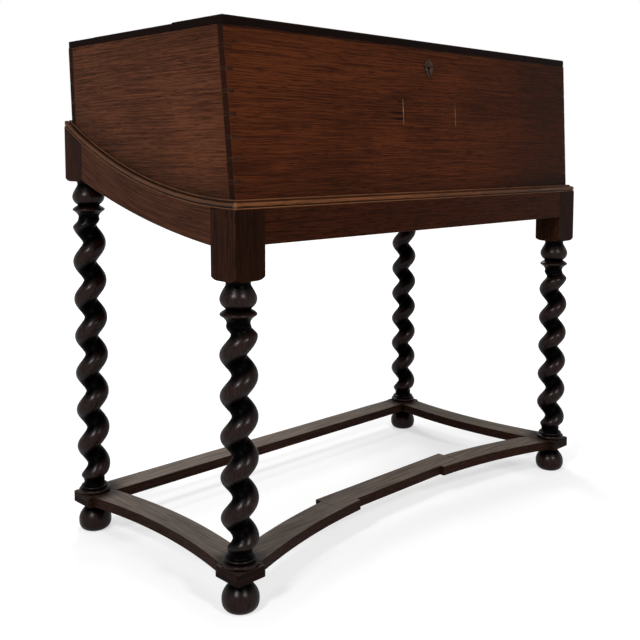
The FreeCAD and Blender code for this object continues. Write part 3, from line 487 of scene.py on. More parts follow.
def oak(
    name, turn, light, deep, pore, worn_and_highlit_to=None, pores=0.6, end=0.78, gloss=0.34, specular=0.015,
    relief=0.25, start=(0, 0, 0), wear=0.5, along=None, grime_and_shade=None, rubbed=None, dust_and_sheen=None, polish=None,
):
    """An oak finish: grain, colours, least roughness, and what darkens it (dirt and painted shade), wears it
    (wear and painted highlights), dusts it (with a painted sheen) or shines it.
    """
    finish = bpy.data.materials.new(name)
    finish.use_nodes = True
    tree = finish.node_tree
    shader = tree.nodes["Principled BSDF"]
    where = tree.nodes.new("ShaderNodeTexCoord")
    spot = tree.nodes.new("ShaderNodeSeparateXYZ")
    tree.links.new(where.outputs["Object"], spot.inputs[0])
    place = tree.nodes.new("ShaderNodeMapping")
    place.inputs["Location"].default_value = start
    if along:
        feed(tree, place.inputs["Vector"], along(tree, *spot.outputs))
    else:
        place.inputs["Rotation"].default_value = turn
        tree.links.new(where.outputs["Object"], place.inputs["Vector"])
    facing = tree.nodes.new("ShaderNodeMapping")
    facing.vector_type = "VECTOR"
    facing.inputs["Rotation"].default_value = turn
    tree.links.new(where.outputs["Normal"], facing.inputs["Vector"])
    figure = group_in(
        tree, oak_figure, Place=place.outputs["Vector"], Facing=facing.outputs["Vector"],
        Light=light, Deep=deep, Pore=pore, Worn=worn_and_highlit_to or light, Pores=pores, End=end,
    )
    if grime_and_shade:
        feed(tree, figure.inputs["Grime_and_shade"], grime_and_shade(tree, *spot.outputs))
    # wear, and on the mouldings painted highlights as well
    rub_and_highlight = rubbed(tree, *spot.outputs) if rubbed else None
    if wear:
        arris = group_in(tree, arris_wear, Place=where.outputs["Object"], Amount=wear)
        rub_and_highlight = most(tree, arris.outputs["Rubbed_and_highlit"], rub_and_highlight) if rub_and_highlight else arris.outputs["Rubbed_and_highlit"]
    if rub_and_highlight:
        feed(tree, figure.inputs["Rubbed_and_highlit"], rub_and_highlight)
    colour = figure.outputs["Color"]
    # dusty colour with a painted sheen of light from above, on faces that look up
    if dust_and_sheen:
        dust_and_sheen_tone, amount = dust_and_sheen
        dust_and_sheen_layer = group_in(
            tree, dust_and_sheen_group, Color=colour, Place=place.outputs["Vector"], Facing=where.outputs["Normal"],
            Dust=dust_and_sheen_tone, Amount=amount(tree, *spot.outputs),
        )
        colour = dust_and_sheen_layer.outputs["Color"]
    tree.links.new(colour, shader.inputs["Base Color"])
    tree.links.new(maths(tree, "ADD", figure.outputs["Roughness"], gloss), shader.inputs["Roughness"])
    bump = tree.nodes.new("ShaderNodeBump")
    bump.inputs["Strength"].default_value = relief
    bump.inputs["Distance"].default_value = GRAIN_DEPTH
    tree.links.new(figure.outputs["Height"], bump.inputs["Height"])
    tree.links.new(bump.outputs["Normal"], shader.inputs["Normal"])
    shader.inputs["Specular IOR Level"].default_value = specular
    if polish:
        feed(tree, shader.inputs["Coat Weight"], polish(tree, *spot.outputs))
        shader.inputs["Coat Roughness"].default_value = POLISH_ROUGHNESS
    return finish


def from_leg(tree, x, y):
    """Distance in plan from the nearest leg's axis."""
    across = maths(tree, "SUBTRACT", maths(tree, "ABSOLUTE", x), LEG_X)
    deep = maths(tree, "SUBTRACT", maths(tree, "ABSOLUTE", y), LEG_Y)
    return diagonal(tree, across, deep)


def hollow_shade_and_polish(tree, x, y, z):
    """Painted shade darkens the hollows of the twist, together with old black polish, which is rubbed thin on
    its swells.
    """
    return ramp(tree, from_leg(tree, x, y), 19.0 * MM, 27.5 * MM, 1.0, 0.0)


def swell_polish(tree, x, y, z):
    """The swells have been rubbed to a shine, in streaks along the grain."""
    spot = tree.nodes.new("ShaderNodeCombineXYZ")
    feed(tree, spot.inputs[0], z)
    feed(tree, spot.inputs[1], x)
    feed(tree, spot.inputs[2], y)
    streaks = stretched_noise(tree, spot.outputs[0], 40.0, 500.0, 2.0)
    streaks = ramp(tree, streaks, 0.35, 0.65, 0.55, 1.0)
    shine = ramp(tree, from_leg(tree, x, y), 17.5 * MM, 24.5 * MM, 0.0, 0.32)
    return maths(tree, "MULTIPLY", shine, streaks)


def block_front_shade(tree, x, y, z):
    """Painted shade: the front faces of the front blocks are the darkest, as less light falls on them."""
    face = -LEG_Y - LEG_BLOCK / 2
    return ramp(tree, y, face, face + 1.0 * MM, 0.5, 0.0)


leg_oak = oak(
    "leg_oak", ALONG_Z, srgb(32, 11, 6), srgb(12, 4, 2), srgb(2, 1, 1),
    pores=0.5, gloss=0.30, specular=0.01, relief=0.20, wear=0, grime_and_shade=hollow_shade_and_polish, polish=swell_polish,
)
block_oak = oak(
    "block_oak", ALONG_Z, srgb(56, 31, 20), srgb(28, 14, 9), srgb(12, 3, 1), srgb(96, 66, 48),
    start=(0.2, 0.4, 0.1), grime_and_shade=block_front_shade,
)
for name, leg in legs.items():
    leg.data.materials.clear()
    leg.data.materials.append(leg_oak)
    leg.data.materials.append(block_oak)
    block_foot = LEGS[name][4] * MM
    for face in leg.data.polygons:
        face.material_index = 1 if face.center.z > block_foot - 0.1 * MM else 0

# ---------------------------------------------------------------- feet
# A turned bun foot under each corner, of the same oak as the legs, bored from above
# and glued on the leg's tenon where it comes through the stretchers.

FOOT_CRISP = 45
# Radius and height above the floor, in mm.
FOOT = [
    [(16.0, 0.0), (19.6, 0.5), (24.6, 4.0), (27.6, 9.8), (28.4, 16.6), (27.8, 23.4), (25.2, 30.0),
     (20.8, 36.2), (17.2, 40.6), (16.6, 44.0), (18.4, 47.6), (20.4, 50.0)],
]


def copied(piece, name):
    """A copy of a piece with a mesh of its own."""
    twin = piece.copy()
    twin.data = piece.data.copy()
    twin.name = name
    bpy.context.scene.collection.objects.link(twin)
    return twin


bun_foot = turning("bun_foot", [(r, z, 0, 0) for r, z in turned_line(FOOT, 0, 1)])
smooth(bun_foot, FOOT_CRISP)
bun_foot.data.materials.append(leg_oak)
for name, (across, deep, *_) in LEGS.items():
    foot = copied(bun_foot, name.replace("leg", "foot"))
    put(foot, (LEG_X * across, LEG_Y * deep, 0))
    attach(foot, "stand")
    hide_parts("feet")
bpy.data.objects.remove(bun_foot)

# ---------------------------------------------------------------- stretchers
# Flat oak boards halved together under the legs: bowed ends, a straight back, and two
# curved arms in front joined by a straight middle lapped under them. Dusty on top, with a painted sheen.

WELD_WITHIN = 0.01 * MM
FLAT_WITHIN = math.radians(0.1)
ARRIS_FROM = math.radians(40)
STRETCHER_ARRIS = 1.4 * MM


def worn(name, finish, width):
    """A piece as sawn, with its arrises softened by wear and its finish."""
    piece = node[name]
    weld = piece.modifiers.new("weld", "WELD")
    weld.merge_threshold = WELD_WITHIN
    flat = piece.modifiers.new("flat", "DECIMATE")
    flat.decimate_type = "DISSOLVE"
    flat.angle_limit = FLAT_WITHIN
    soften = piece.modifiers.new("arris", "BEVEL")
    soften.width = width
    soften.segments = 2
    soften.limit_method = "ANGLE"
    soften.angle_limit = ARRIS_FROM
    even = piece.modifiers.new("even", "WEIGHTED_NORMAL")
    even.keep_sharp = True
    piece.data.materials.clear()
    piece.data.materials.append(finish)


def dust_and_sheen_on_runs(tree, x, y, z):
    """The runs of the stretchers are dusty and lighter with a painted sheen, and the pads round the legs are
    rubbed clean.
    """
    return ramp(tree, from_leg(tree, x, y), 32.0 * MM, 62.0 * MM, 0.12, 0.85)


def pad_grime(tree, x, y, z):
    """The pads are dark all round with old polish."""
    return ramp(tree, from_leg(tree, x, y), 34.0 * MM, 50.0 * MM, 0.62, 0.12)


STRETCHER_OAK = (srgb(52, 31, 23), srgb(28, 16, 12), srgb(14, 8, 6), srgb(76, 52, 40))
# The grey-brown laid on the runs is dusty colour with a painted sheen.
STRETCHER_FINISH = dict(
    gloss=0.40, specular=0.025, wear=0.35, end=0.4, grime_and_shade=pad_grime, dust_and_sheen=(srgb(112, 101, 91), dust_and_sheen_on_runs),
)
stretcher_long = oak("stretcher_oak_long", ALONG_X, *STRETCHER_OAK, **STRETCHER_FINISH)
stretcher_deep = oak("stretcher_oak_deep", ALONG_Y, *STRETCHER_OAK, **STRETCHER_FINISH)
for name in (
    "front_stretcher_left_arm", "front_stretcher_middle", "front_stretcher_right_arm", "rear_stretcher",
):
    worn(name, stretcher_long, STRETCHER_ARRIS)
for name in ("left_end_stretcher", "right_end_stretcher"):
    worn(name, stretcher_deep, STRETCHER_ARRIS)

# ---------------------------------------------------------------- rails
# Oak boards tenoned into the leg blocks, flush with their outer faces. The end rails are
# sawn to the saddle curve that the box sits in, and their grain was chosen to follow it.

SADDLE_RADIUS = 932.6 * MM
SADDLE_Y = -233.2 * MM
SADDLE_Z = 1526.6 * MM
RAIL_ARRIS = 0.8 * MM


def saddle_height(tree, y, z):
    """Height above the saddle curve, measured square to it, and the turn along it."""
    deep = maths(tree, "SUBTRACT", y, SADDLE_Y)
    down = maths(tree, "SUBTRACT", SADDLE_Z, z)
    height = maths(tree, "SUBTRACT", SADDLE_RADIUS, diagonal(tree, deep, down))
    return height, maths(tree, "ARCTAN2", deep, down)


def along_saddle(tree, x, y, z):
    """Grain that follows the saddle curve from front to back."""
    height, turn = saddle_height(tree, y, z)
    made = tree.nodes.new("ShaderNodeCombineXYZ")
    feed(tree, made.inputs[0], maths(tree, "MULTIPLY", turn, SADDLE_RADIUS))
    feed(tree, made.inputs[1], height)
    feed(tree, made.inputs[2], x)
    return made.outputs[0]


rail_long = oak(
    "rail_oak_long", ALONG_X, srgb(57, 27, 14), srgb(31, 13, 6), srgb(12, 5, 3), srgb(104, 66, 44),
)
rail_deep = oak(
    "rail_oak_deep", ALONG_Y, srgb(78, 47, 33), srgb(52, 30, 21), srgb(22, 12, 9), srgb(110, 74, 54),
    pores=0.45, along=along_saddle,
)
for name in ("front_rail", "rear_rail"):
    worn(name, rail_long, RAIL_ARRIS)
for name in ("left_end_rail", "right_end_rail"):
    worn(name, rail_deep, RAIL_ARRIS)

# ---------------------------------------------------------------- mouldings
# A strip of moulded oak round the top of the stand, run with a plane and mitred at the corners,
# which keeps the box in its place. Its edges are rubbed light and carry painted highlights, and painted shade
# with dirt lies in its quirks.

MOULDING_X = 455.5 * MM
MOULDING_Y = 233.2 * MM
MOULDING_CORNER = 3.0 * MM
SADDLE_TURN = math.radians(31.0)
SADDLE_STEPS = 36
CORNER_CUTS = (22.5, 45.0, 67.5)
MOULDING_CRISP = 32
SAME_SPOT = 0.005 * MM
# From the outer face inwards and up from the rail, in mm: edge, quirk, ovolo, quirk, fillet.
MOULDING = [
    (0.3, 0.0), (0.0, 0.4), (0.0, 1.3), (0.4, 1.7), (1.9, 1.9), (1.9, 3.1), (0.7, 3.2), (0.25, 4.0),
    (0.1, 5.2), (0.3, 6.6), (0.9, 8.0), (1.9, 9.2), (3.3, 10.1), (4.8, 10.5), (5.4, 10.3), (5.5, 9.7),
    (6.6, 9.7), (6.6, 12.6), (6.9, 13.2), (7.6, 13.4), (12.0, 13.4), (12.0, 0.0),
]
# Heights in mm between which painted shade with dirt lies, or wear with painted highlights shows, and how
# much.
QUIRK_SHADE_AND_DIRT = ((1.7, 3.5, 0.85), (9.4, 11.3, 0.8), (13.3, 20.0, 0.7))
WORN_AND_HIGHLIT = ((0.5, 1.6, 0.55), (5.0, 8.4, 0.25), (12.0, 13.2, 0.35))
SOFT_END = 0.25


def drawn(name, spots):
    """A flat section, drawn spot by spot and filled."""
    clear_selection()
    bpy.ops.mesh.primitive_plane_add(size=1 * MM, location=spots[0])
    piece = bpy.context.object
    piece.name = name
    bpy.ops.object.transform_apply(location=True, rotation=True, scale=True)
    bpy.ops.object.mode_set(mode="EDIT")
    bpy.ops.mesh.select_all(action="SELECT")
    bpy.ops.mesh.merge(type="CENTER")
    for here, there in zip(spots, spots[1:]):
        move = [b - a for a, b in zip(here, there)]
        bpy.ops.mesh.extrude_vertices_move(TRANSFORM_OT_translate={"value": move})
    bpy.ops.mesh.select_all(action="SELECT")
    bpy.ops.mesh.edge_face_add()
    return piece


def planed(piece, corners):
    """Closes a run in edit mode: cut off at its mitres, its corners rounded off, faces outwards."""
    for spot, side, mitre in corners:
        bpy.ops.mesh.select_all(action="SELECT")
        bpy.ops.mesh.bisect(plane_co=(*spot, 0), plane_no=(*mitre, 0), use_fill=True, clear_outer=True)
        for degrees in CORNER_CUTS:
            turn = math.radians(degrees)
            normal = (side[0] * math.cos(turn), side[1] * math.sin(turn), 0)
            touch = [
                a - b * MOULDING_CORNER + c * MOULDING_CORNER for a, b, c in zip(spot, side, normal)
            ]
            bpy.ops.mesh.select_all(action="SELECT")
            bpy.ops.mesh.bisect(plane_co=(*touch, 0), plane_no=normal, use_fill=True, clear_outer=True)
    bpy.ops.mesh.select_all(action="SELECT")
    bpy.ops.mesh.remove_doubles(threshold=SAME_SPOT)
    bpy.ops.mesh.normals_make_consistent(inside=False)
    bpy.ops.object.mode_set(mode="OBJECT")


def long_moulding(name, end):
    """The front or rear run: its section at the saddle's own slope, drawn out along the rail."""
    spots = []
    for inward, height in MOULDING:
        y = end * (MOULDING_Y - inward * MM)
        reach = SADDLE_RADIUS - height * MM
        spots.append((-MOULDING_X, y, SADDLE_Z - math.sqrt(reach ** 2 - (y - SADDLE_Y) ** 2)))
    piece = drawn(name, spots)
    bpy.ops.mesh.extrude_region_move(TRANSFORM_OT_translate={"value": (2 * MOULDING_X, 0, 0)})
    planed(piece, [
        ((-MOULDING_X, end * MOULDING_Y), (-1, end), (-1, -end)),
        ((MOULDING_X, end * MOULDING_Y), (1, end), (1, -end)),
    ])
    return piece


def end_moulding(name):
    """The left run: its section swept along the saddle curve."""
    spots = [(-MOULDING_X + w * MM, SADDLE_Y, SADDLE_Z - SADDLE_RADIUS + h * MM) for w, h in MOULDING]
    piece = drawn(name, spots)
    bpy.ops.mesh.spin(
        steps=SADDLE_STEPS, angle=-SADDLE_TURN, center=(-MOULDING_X, SADDLE_Y, SADDLE_Z), axis=(1, 0, 0)
    )
    planed(piece, [
        ((-MOULDING_X, -MOULDING_Y), (-1, -1), (1, -1)),
        ((-MOULDING_X, MOULDING_Y), (-1, 1), (1, 1)),
    ])
    return piece


def lines(tree, height, spans):
    """The amount given between each pair of heights, with soft ends."""
    made = []
    for low, high, amount in spans:
        up = ramp(tree, height, (low - SOFT_END) * MM, (low + SOFT_END) * MM)
        down = ramp(tree, height, (high - SOFT_END) * MM, (high + SOFT_END) * MM, amount, 0.0)
        made.append(maths(tree, "MULTIPLY", up, down))
    return most(tree, *made)


def quirk_shade_and_dirt(tree, x, y, z):
    """Painted shade with dirt in the quirks and along the top, where a cloth does not reach, and more painted
    shade to the right, where less light falls.
    """
    height, _ = saddle_height(tree, y, z)
    return most(tree, lines(tree, height, QUIRK_SHADE_AND_DIRT), ramp(tree, x, -0.1, 0.46, 0.0, 0.45))


def worn_and_highlit_edges(tree, x, y, z):
    """The lower edge, the round of the ovolo and the fillet, rubbed light and lit with painted highlights,
    more to the left, and the front corners most.
    """
    height, _ = saddle_height(tree, y, z)
    rub_and_highlight = maths(tree, "MULTIPLY", lines(tree, height, WORN_AND_HIGHLIT), ramp(tree, x, -0.3, 0.4, 1.0, 0.3))
    across = maths(tree, "SUBTRACT", maths(tree, "ABSOLUTE", x), MOULDING_X)
    deep = maths(tree, "ADD", y, MOULDING_Y)
    return most(tree, rub_and_highlight, ramp(tree, diagonal(tree, across, deep), 2.0 * MM, 8.0 * MM, 0.6, 0.0))


# The fourth colour of each is the worn colour, which also paints the highlights.
LONG_OAK = (srgb(106, 62, 35), srgb(64, 34, 19), srgb(16, 8, 5), srgb(128, 88, 60))
DEEP_OAK = (srgb(82, 51, 34), srgb(50, 29, 19), srgb(14, 8, 6), srgb(118, 84, 62))
MOULDING_FINISH = dict(gloss=0.24, specular=0.03, wear=0, grime_and_shade=quirk_shade_and_dirt, rubbed=worn_and_highlit_edges)
moulding_long = oak("moulding_oak_long", ALONG_X, *LONG_OAK, **MOULDING_FINISH)
moulding_deep = oak("moulding_oak_deep", ALONG_Y, *DEEP_OAK, along=along_saddle, **MOULDING_FINISH)
left_run = end_moulding("left_end_moulding_run")
right_run = copied(left_run, "right_end_moulding_run")
put(right_run, size=(-1, 1, 1))
bpy.ops.object.mode_set(mode="EDIT")
bpy.ops.mesh.select_all(action="SELECT")
bpy.ops.mesh.normals_make_consistent(inside=False)
bpy.ops.object.mode_set(mode="OBJECT")
for run, replaced, finish in (
    (left_run, "left_end_moulding", moulding_deep),
    (right_run, "right_end_moulding", moulding_deep),
    (long_moulding("front_moulding_run", -1), "front_moulding", moulding_long),
    (long_moulding("rear_moulding_run", 1), "rear_moulding", moulding_long),
):
    smooth(run, MOULDING_CRISP)
    run.data.materials.append(finish)
    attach(run, "stand")
    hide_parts(replaced)

# ---------------------------------------------------------------- box
# Four oak boards dovetailed at the corners, the front leaning back and the ends splayed,
# on bottom boards laid across the saddle curve. Two pale slips are let into the front.

FRONT_FOOT_Y = -220.9 * MM
FRONT_FOOT_Z = 594.0 * MM
FRONT_LEAN = 16.5 / 258.0
BOARD = 12.5 * MM
BOX_ARRIS = 0.5 * MM
BOTTOM_BOARDS = 6
SLIP_X = 72.0 * MM
SLIP_Z = 742.5 * MM
SLIP_SIZE = (1.3 * MM, 0.6 * MM, 43.0 * MM)
SLIP_ARRIS = 0.15 * MM
# Stains beside the left slip, in mm: level from its middle, half height, reach to the left; depth.
STAINS = ((-2.5, 3.2, 46.0, 0.95), (-12.5, 2.6, 28.0, 1.0), (16.0, 2.2, 18.0, 0.8))


def front_shade_and_stains(tree, x, y, z):
    """Painted shade darkens the front to the right, where less light falls, and a band under the lid is
    painted shadow with dirt; the front is also darker along its foot, and stained by the left slip.
    """
    # painted shade: darker towards the right
    right = ramp(tree, x, 0.0, 0.44, 0.0, 0.58)
    foot = ramp(tree, z, 0.604, 0.650, 0.30, 0.0)
    # painted shadow with dirt in a band under the lid; the dashes added below are real stains
    stains_and_lid_shadow = ramp(tree, z, 0.8475, 0.8515, 0.0, 0.8)
    for level, thick, far, depth in STAINS:
        off = gap(tree, z, SLIP_Z + level * MM)
        dash = ramp(tree, off, thick * 0.3 * MM, thick * MM, depth, 0.0)
        tail = ramp(tree, x, -SLIP_X - far * MM, -SLIP_X - far * 0.5 * MM)
        near = ramp(tree, x, -SLIP_X - 1.5 * MM, -SLIP_X - 0.5 * MM, 1.0, 0.0)
        dash = maths(tree, "MULTIPLY", dash, maths(tree, "MULTIPLY", tail, near))
        stains_and_lid_shadow = most(tree, stains_and_lid_shadow, dash)
    return most(tree, maths(tree, "ADD", right, foot), stains_and_lid_shadow)


def rear_grime(tree, x, y, z):
    """The back is dirty along its foot, where it was never polished."""
    return ramp(tree, z, 0.725, 0.780, 0.45, 0.10)


def corner_bands(tree, x, y, z):
    """The front and rear boards' ends show as a dark band down each corner, and dirt along the foot."""
    face = maths(tree, "MULTIPLY", maths(tree, "SUBTRACT", z, FRONT_FOOT_Z), FRONT_LEAN)
    inward = maths(tree, "SUBTRACT", maths(tree, "SUBTRACT", y, FRONT_FOOT_Y), face)
    front = ramp(tree, inward, BOARD - 1.0 * MM, BOARD + 2.5 * MM, 0.86, 0.0)
    front = maths(tree, "MULTIPLY", front, ramp(tree, inward, 0.2 * MM, 0.8 * MM, 0.4, 1.0))
    back = ramp(tree, y, 0.2060, 0.2090, 0.0, 0.80)
    height, _ = saddle_height(tree, y, z)
    foot = ramp(tree, height, 0.012, 0.070, 0.48, 0.0)
    return most(tree, front, back, foot)


box_long = oak(
    "box_oak_long", ALONG_X, srgb(84, 42, 22), srgb(50, 23, 12), srgb(20, 11, 8), srgb(112, 68, 44),
    pores=0.5, start=(0.3, 0.2, 0.1), grime_and_shade=front_shade_and_stains,
)
rear_oak = oak(
    "rear_oak", ALONG_X, srgb(82, 46, 29), srgb(50, 26, 16), srgb(22, 13, 9), srgb(108, 70, 48),
    pores=0.5, gloss=0.42, start=(0.9, 0.5, 0.3), grime_and_shade=rear_grime,
)
box_deep = oak(
    "box_oak_deep", ALONG_Y, srgb(96, 57, 38), srgb(59, 32, 21), srgb(24, 15, 11), srgb(112, 68, 44),
    pores=0.5, end=0.4, start=(0.7, 0.1, 0.4), grime_and_shade=corner_bands,
)
bottom_oak = oak("bottom_oak", ALONG_X, srgb(110, 80, 56), srgb(66, 44, 32), srgb(30, 20, 15), gloss=0.5)
worn("front_panel", box_long, BOX_ARRIS)
worn("rear_panel", rear_oak, BOX_ARRIS)
for name in ("left_end_panel", "right_end_panel"):
    worn(name, box_deep, BOX_ARRIS)
for i in range(BOTTOM_BOARDS):
    worn(f"bottom_board_{i + 1}", bottom_oak, BOX_ARRIS)


def slip_grime(tree, x, y, z):
    """The right slip is dull all over, and both fade towards the top."""
    right = ramp(tree, x, -0.01, 0.01, 0.0, 0.45)
    return maths(tree, "ADD", right, ramp(tree, z, 0.744, 0.768, 0.0, 0.40))


slip_oak = oak(
    "slip_oak", ALONG_Z, srgb(164, 126, 86), srgb(112, 78, 50), srgb(52, 32, 22), wear=0, grime_and_shade=slip_grime,
)
clear_selection()
bpy.ops.mesh.primitive_cube_add(size=1)
slip = bpy.context.object
slip.scale = SLIP_SIZE
bpy.ops.object.transform_apply(location=True, rotation=True, scale=True)
bpy.ops.object.mode_set(mode="EDIT")
bpy.ops.mesh.select_all(action="SELECT")
bpy.ops.mesh.bevel(offset=SLIP_ARRIS, segments=2)
bpy.ops.object.mode_set(mode="OBJECT")
slip.data.materials.append(slip_oak)
for side, way in (("left", -1), ("right", 1)):
    let_in = copied(slip, f"front_slip_{side}")
    face_y = FRONT_FOOT_Y + FRONT_LEAN * (SLIP_Z - FRONT_FOOT_Z)
    put(let_in, (SLIP_X * way, face_y + SLIP_SIZE[1] * 0.25, SLIP_Z), (-math.atan(FRONT_LEAN), 0, 0))
    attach(let_in, "stand")
bpy.data.objects.remove(slip)

# ---------------------------------------------------------------- lid
# Two oak boards joined edge to edge, hinged to a fixed strip at the back of the box.
# Their edges are nearly black with handling and old polish.

LID_FRONT_Y = -204.4 * MM
LID_JOINT_Y = -81.4 * MM
HINGE_LINE_Y = 138.9 * MM
LID_ARRIS = 1.0 * MM


def lid_grime(tree, x, y, z):
    """Dirt in the joint between the boards and along the hinge line, and on the edges."""
    joint = ramp(tree, gap(tree, y, LID_JOINT_Y), 0.8 * MM, 2.4 * MM, 0.85, 0.0)
    hinge = ramp(tree, gap(tree, y, HINGE_LINE_Y), 1.4 * MM, 4.0 * MM, 0.85, 0.0)
    ends = ramp(tree, maths(tree, "ABSOLUTE", x), 0.446, 0.4495, 0.0, 0.35)
    front = ramp(tree, y, LID_FRONT_Y + 0.6 * MM, LID_FRONT_Y + 2.5 * MM, 0.88, 0.0)
    return most(tree, joint, hinge, ends, front)


for name, tone, start in (
    ("lid_front_board", (srgb(52, 27, 19), srgb(27, 13, 10)), (0.5, 0.6, 0.2)),
    ("lid_rear_board", (srgb(60, 32, 23), srgb(31, 16, 12)), (1.3, 0.9, 0.7)),
    ("top_strip", (srgb(50, 27, 20), srgb(25, 13, 10)), (2.1, 0.2, 0.4)),
):
    board_oak = oak(
        name + "_oak", ALONG_X, *tone, srgb(10, 6, 5), srgb(92, 62, 46), start=start, grime_and_shade=lid_grime,
    )
    worn(name, board_oak, LID_ARRIS)

# ---------------------------------------------------------------- ironwork
# Butt hinges let into the meeting edges, a box lock let into the front board with its link plate
# under the lid, and a keyhole plate, of old iron, held by slotted screws and small pins.

IRON_ARRIS = 0.2 * MM
PIT_DEPTH = 0.3 * MM


def metal(name, light, deep, gloss):
    """Old iron: darkened, mottled, bright where it is rubbed."""
    finish = bpy.data.materials.new(name)
    finish.use_nodes = True
    tree = finish.node_tree
    shader = tree.nodes["Principled BSDF"]
    where = tree.nodes.new("ShaderNodeTexCoord")
    cloud = tree.nodes.new("ShaderNodeTexNoise")
    cloud.inputs["Scale"].default_value = 160.0
    cloud.inputs["Detail"].default_value = 4.0
    tree.links.new(where.outputs["Object"], cloud.inputs["Vector"])
    share = ramp(tree, cloud.outputs["Fac"], 0.35, 0.7)
    tree.links.new(blended(tree, share, deep, light), shader.inputs["Base Color"])
    tree.links.new(ramp(tree, cloud.outputs["Fac"], 0.3, 0.7, gloss + 0.2, gloss), shader.inputs["Roughness"])
    bump = tree.nodes.new("ShaderNodeBump")
    bump.inputs["Strength"].default_value = 0.15
    bump.inputs["Distance"].default_value = PIT_DEPTH
    tree.links.new(cloud.outputs["Fac"], bump.inputs["Height"])
    tree.links.new(bump.outputs["Normal"], shader.inputs["Normal"])
    shader.inputs["Metallic"].default_value = 1.0
    return finish


iron = metal("old_iron", srgb(96, 88, 80), srgb(44, 36, 32), 0.38)
plate = metal("escutcheon_metal", srgb(70, 52, 36), srgb(30, 20, 16), 0.36)
for name in (
    "left_hinge_lid_leaf", "right_hinge_lid_leaf", "left_hinge_strip_leaf", "right_hinge_strip_leaf",
    "link_plate", "lock_bolt", "lock_cap", "lock_case",
):
    worn(name, iron, IRON_ARRIS)
worn("escutcheon", plate, IRON_ARRIS)

SCREW_RADIUS = 2.7 * MM
SCREW_SIDES = 24
SCREW_DEPTH = 1.0 * MM
SCREW_CRISP = 40
FLAT_PROUD = 0.2 * MM
ROUND_PROUD = 0.9 * MM
SLOT_WIDTH = 0.8 * MM
PIN_RADIUS = 0.9 * MM
PIN_CROWN = 0.6
PIN_CRISP = 60
HINGE_X = 284.7 * MM
HINGE_SCREWS = (-22.0 * MM, 0.0, 22.0 * MM)
HINGE_SCREW_Z = 857.6 * MM
LID_LEAF_Y = 138.4 * MM
STRIP_LEAF_Y = 139.4 * MM
LOCK_BACK_Y = -182.5 * MM
LOCK_SCREWS = ((-29.5, 812.0), (29.5, 812.0), (-29.5, 846.0), (29.5, 846.0))
LINK_FOOT_Z = 852.3 * MM
LINK_MIDDLE_Y = -189.0 * MM
LINK_SCREW_X = 26.0 * MM
SHIELD_FACE = 1.2 * MM
SHIELD_PINS = (808.0 * MM, 831.0 * MM)


def screw_head(name, proud):
    """A slotted screw head, its face up at the origin, sunk under the plate."""
    clear_selection()
    bpy.ops.mesh.primitive_cylinder_add(vertices=SCREW_SIDES, radius=SCREW_RADIUS, depth=SCREW_DEPTH)
    head = bpy.context.object
    head.name = name
    put(head, (0, 0, proud - SCREW_DEPTH / 2))
    bpy.ops.object.mode_set(mode="EDIT")
    bpy.ops.mesh.select_all(action="DESELECT")
    bpy.ops.object.mode_set(mode="OBJECT")
    for edge in head.data.edges:
        edge.select = all(head.data.vertices[i].co.z > 0 for i in edge.vertices)
    bpy.ops.object.mode_set(mode="EDIT")
    bpy.ops.mesh.bevel(offset=proud * 0.8, segments=3)
    bpy.ops.object.mode_set(mode="OBJECT")
    bpy.ops.mesh.primitive_cube_add(size=1)
    slot = bpy.context.object
    put(slot, (0, 0, proud), size=(SCREW_RADIUS * 3, SLOT_WIDTH, proud * 1.6))
    combine(head, slot, "DIFFERENCE")
    smooth(head, SCREW_CRISP)
    head.data.materials.append(iron)
    return head


FACE_BACK = (-math.pi / 2, 0, 0)
FACE_FRONT = (math.pi / 2, 0, 0)
FACE_DOWN = (math.pi, 0, 0)


def fixed_with(head, name, spot, facing, turn, body):
    """A copy of a head put on its plate, its slot left as it was driven."""
    driven = copied(head, name)
    put(driven, turn=(0, 0, turn))
    put(driven, spot, facing)
    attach(driven, body)


flat_head = screw_head("flat_head", FLAT_PROUD)
round_head = screw_head("round_head", ROUND_PROUD)
for side, way in (("left", -1), ("right", 1)):
    for i, along in enumerate(HINGE_SCREWS):
        x = HINGE_X * way + along
        spot = (x, LID_LEAF_Y, HINGE_SCREW_Z)
        fixed_with(flat_head, f"{side}_lid_leaf_screw_{i + 1}", spot, FACE_BACK, 0.5 + i, "lid")
        spot = (x, STRIP_LEAF_Y, HINGE_SCREW_Z)
        fixed_with(flat_head, f"{side}_strip_leaf_screw_{i + 1}", spot, FACE_FRONT, 2.0 - i, "stand")
    spot = (LINK_SCREW_X * way, LINK_MIDDLE_Y, LINK_FOOT_Z)
    fixed_with(flat_head, f"{side}_link_screw", spot, FACE_DOWN, 0.8 * way, "lid")
for i, (x, z) in enumerate(LOCK_SCREWS):
    spot = (x * MM, LOCK_BACK_Y, z * MM)
    fixed_with(round_head, f"lock_screw_{i + 1}", spot, FACE_BACK, 0.3 + 0.9 * i, "stand")
for spare in (flat_head, round_head):
    bpy.data.objects.remove(spare)

clear_selection()
bpy.ops.mesh.primitive_uv_sphere_add(segments=16, ring_count=10, radius=PIN_RADIUS)
pin = bpy.context.object
put(pin, size=(1, 1, PIN_CROWN))
smooth(pin, PIN_CRISP)
pin.data.materials.append(plate)
for i, z in enumerate(SHIELD_PINS):
    let_in = copied(pin, f"escutcheon_pin_{i + 1}")
    face_y = FRONT_FOOT_Y + FRONT_LEAN * (z - FRONT_FOOT_Z) - SHIELD_FACE
    put(let_in, (0, face_y, z), (math.pi / 2 - math.atan(FRONT_LEAN), 0, 0))
    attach(let_in, "stand")
bpy.data.objects.remove(pin)

# ---------------------------------------------------------------- studio
# A pale floor that keeps the object's shadow, white all round where it is seen,
# and four soft lamps: to the left, in front, above and behind.

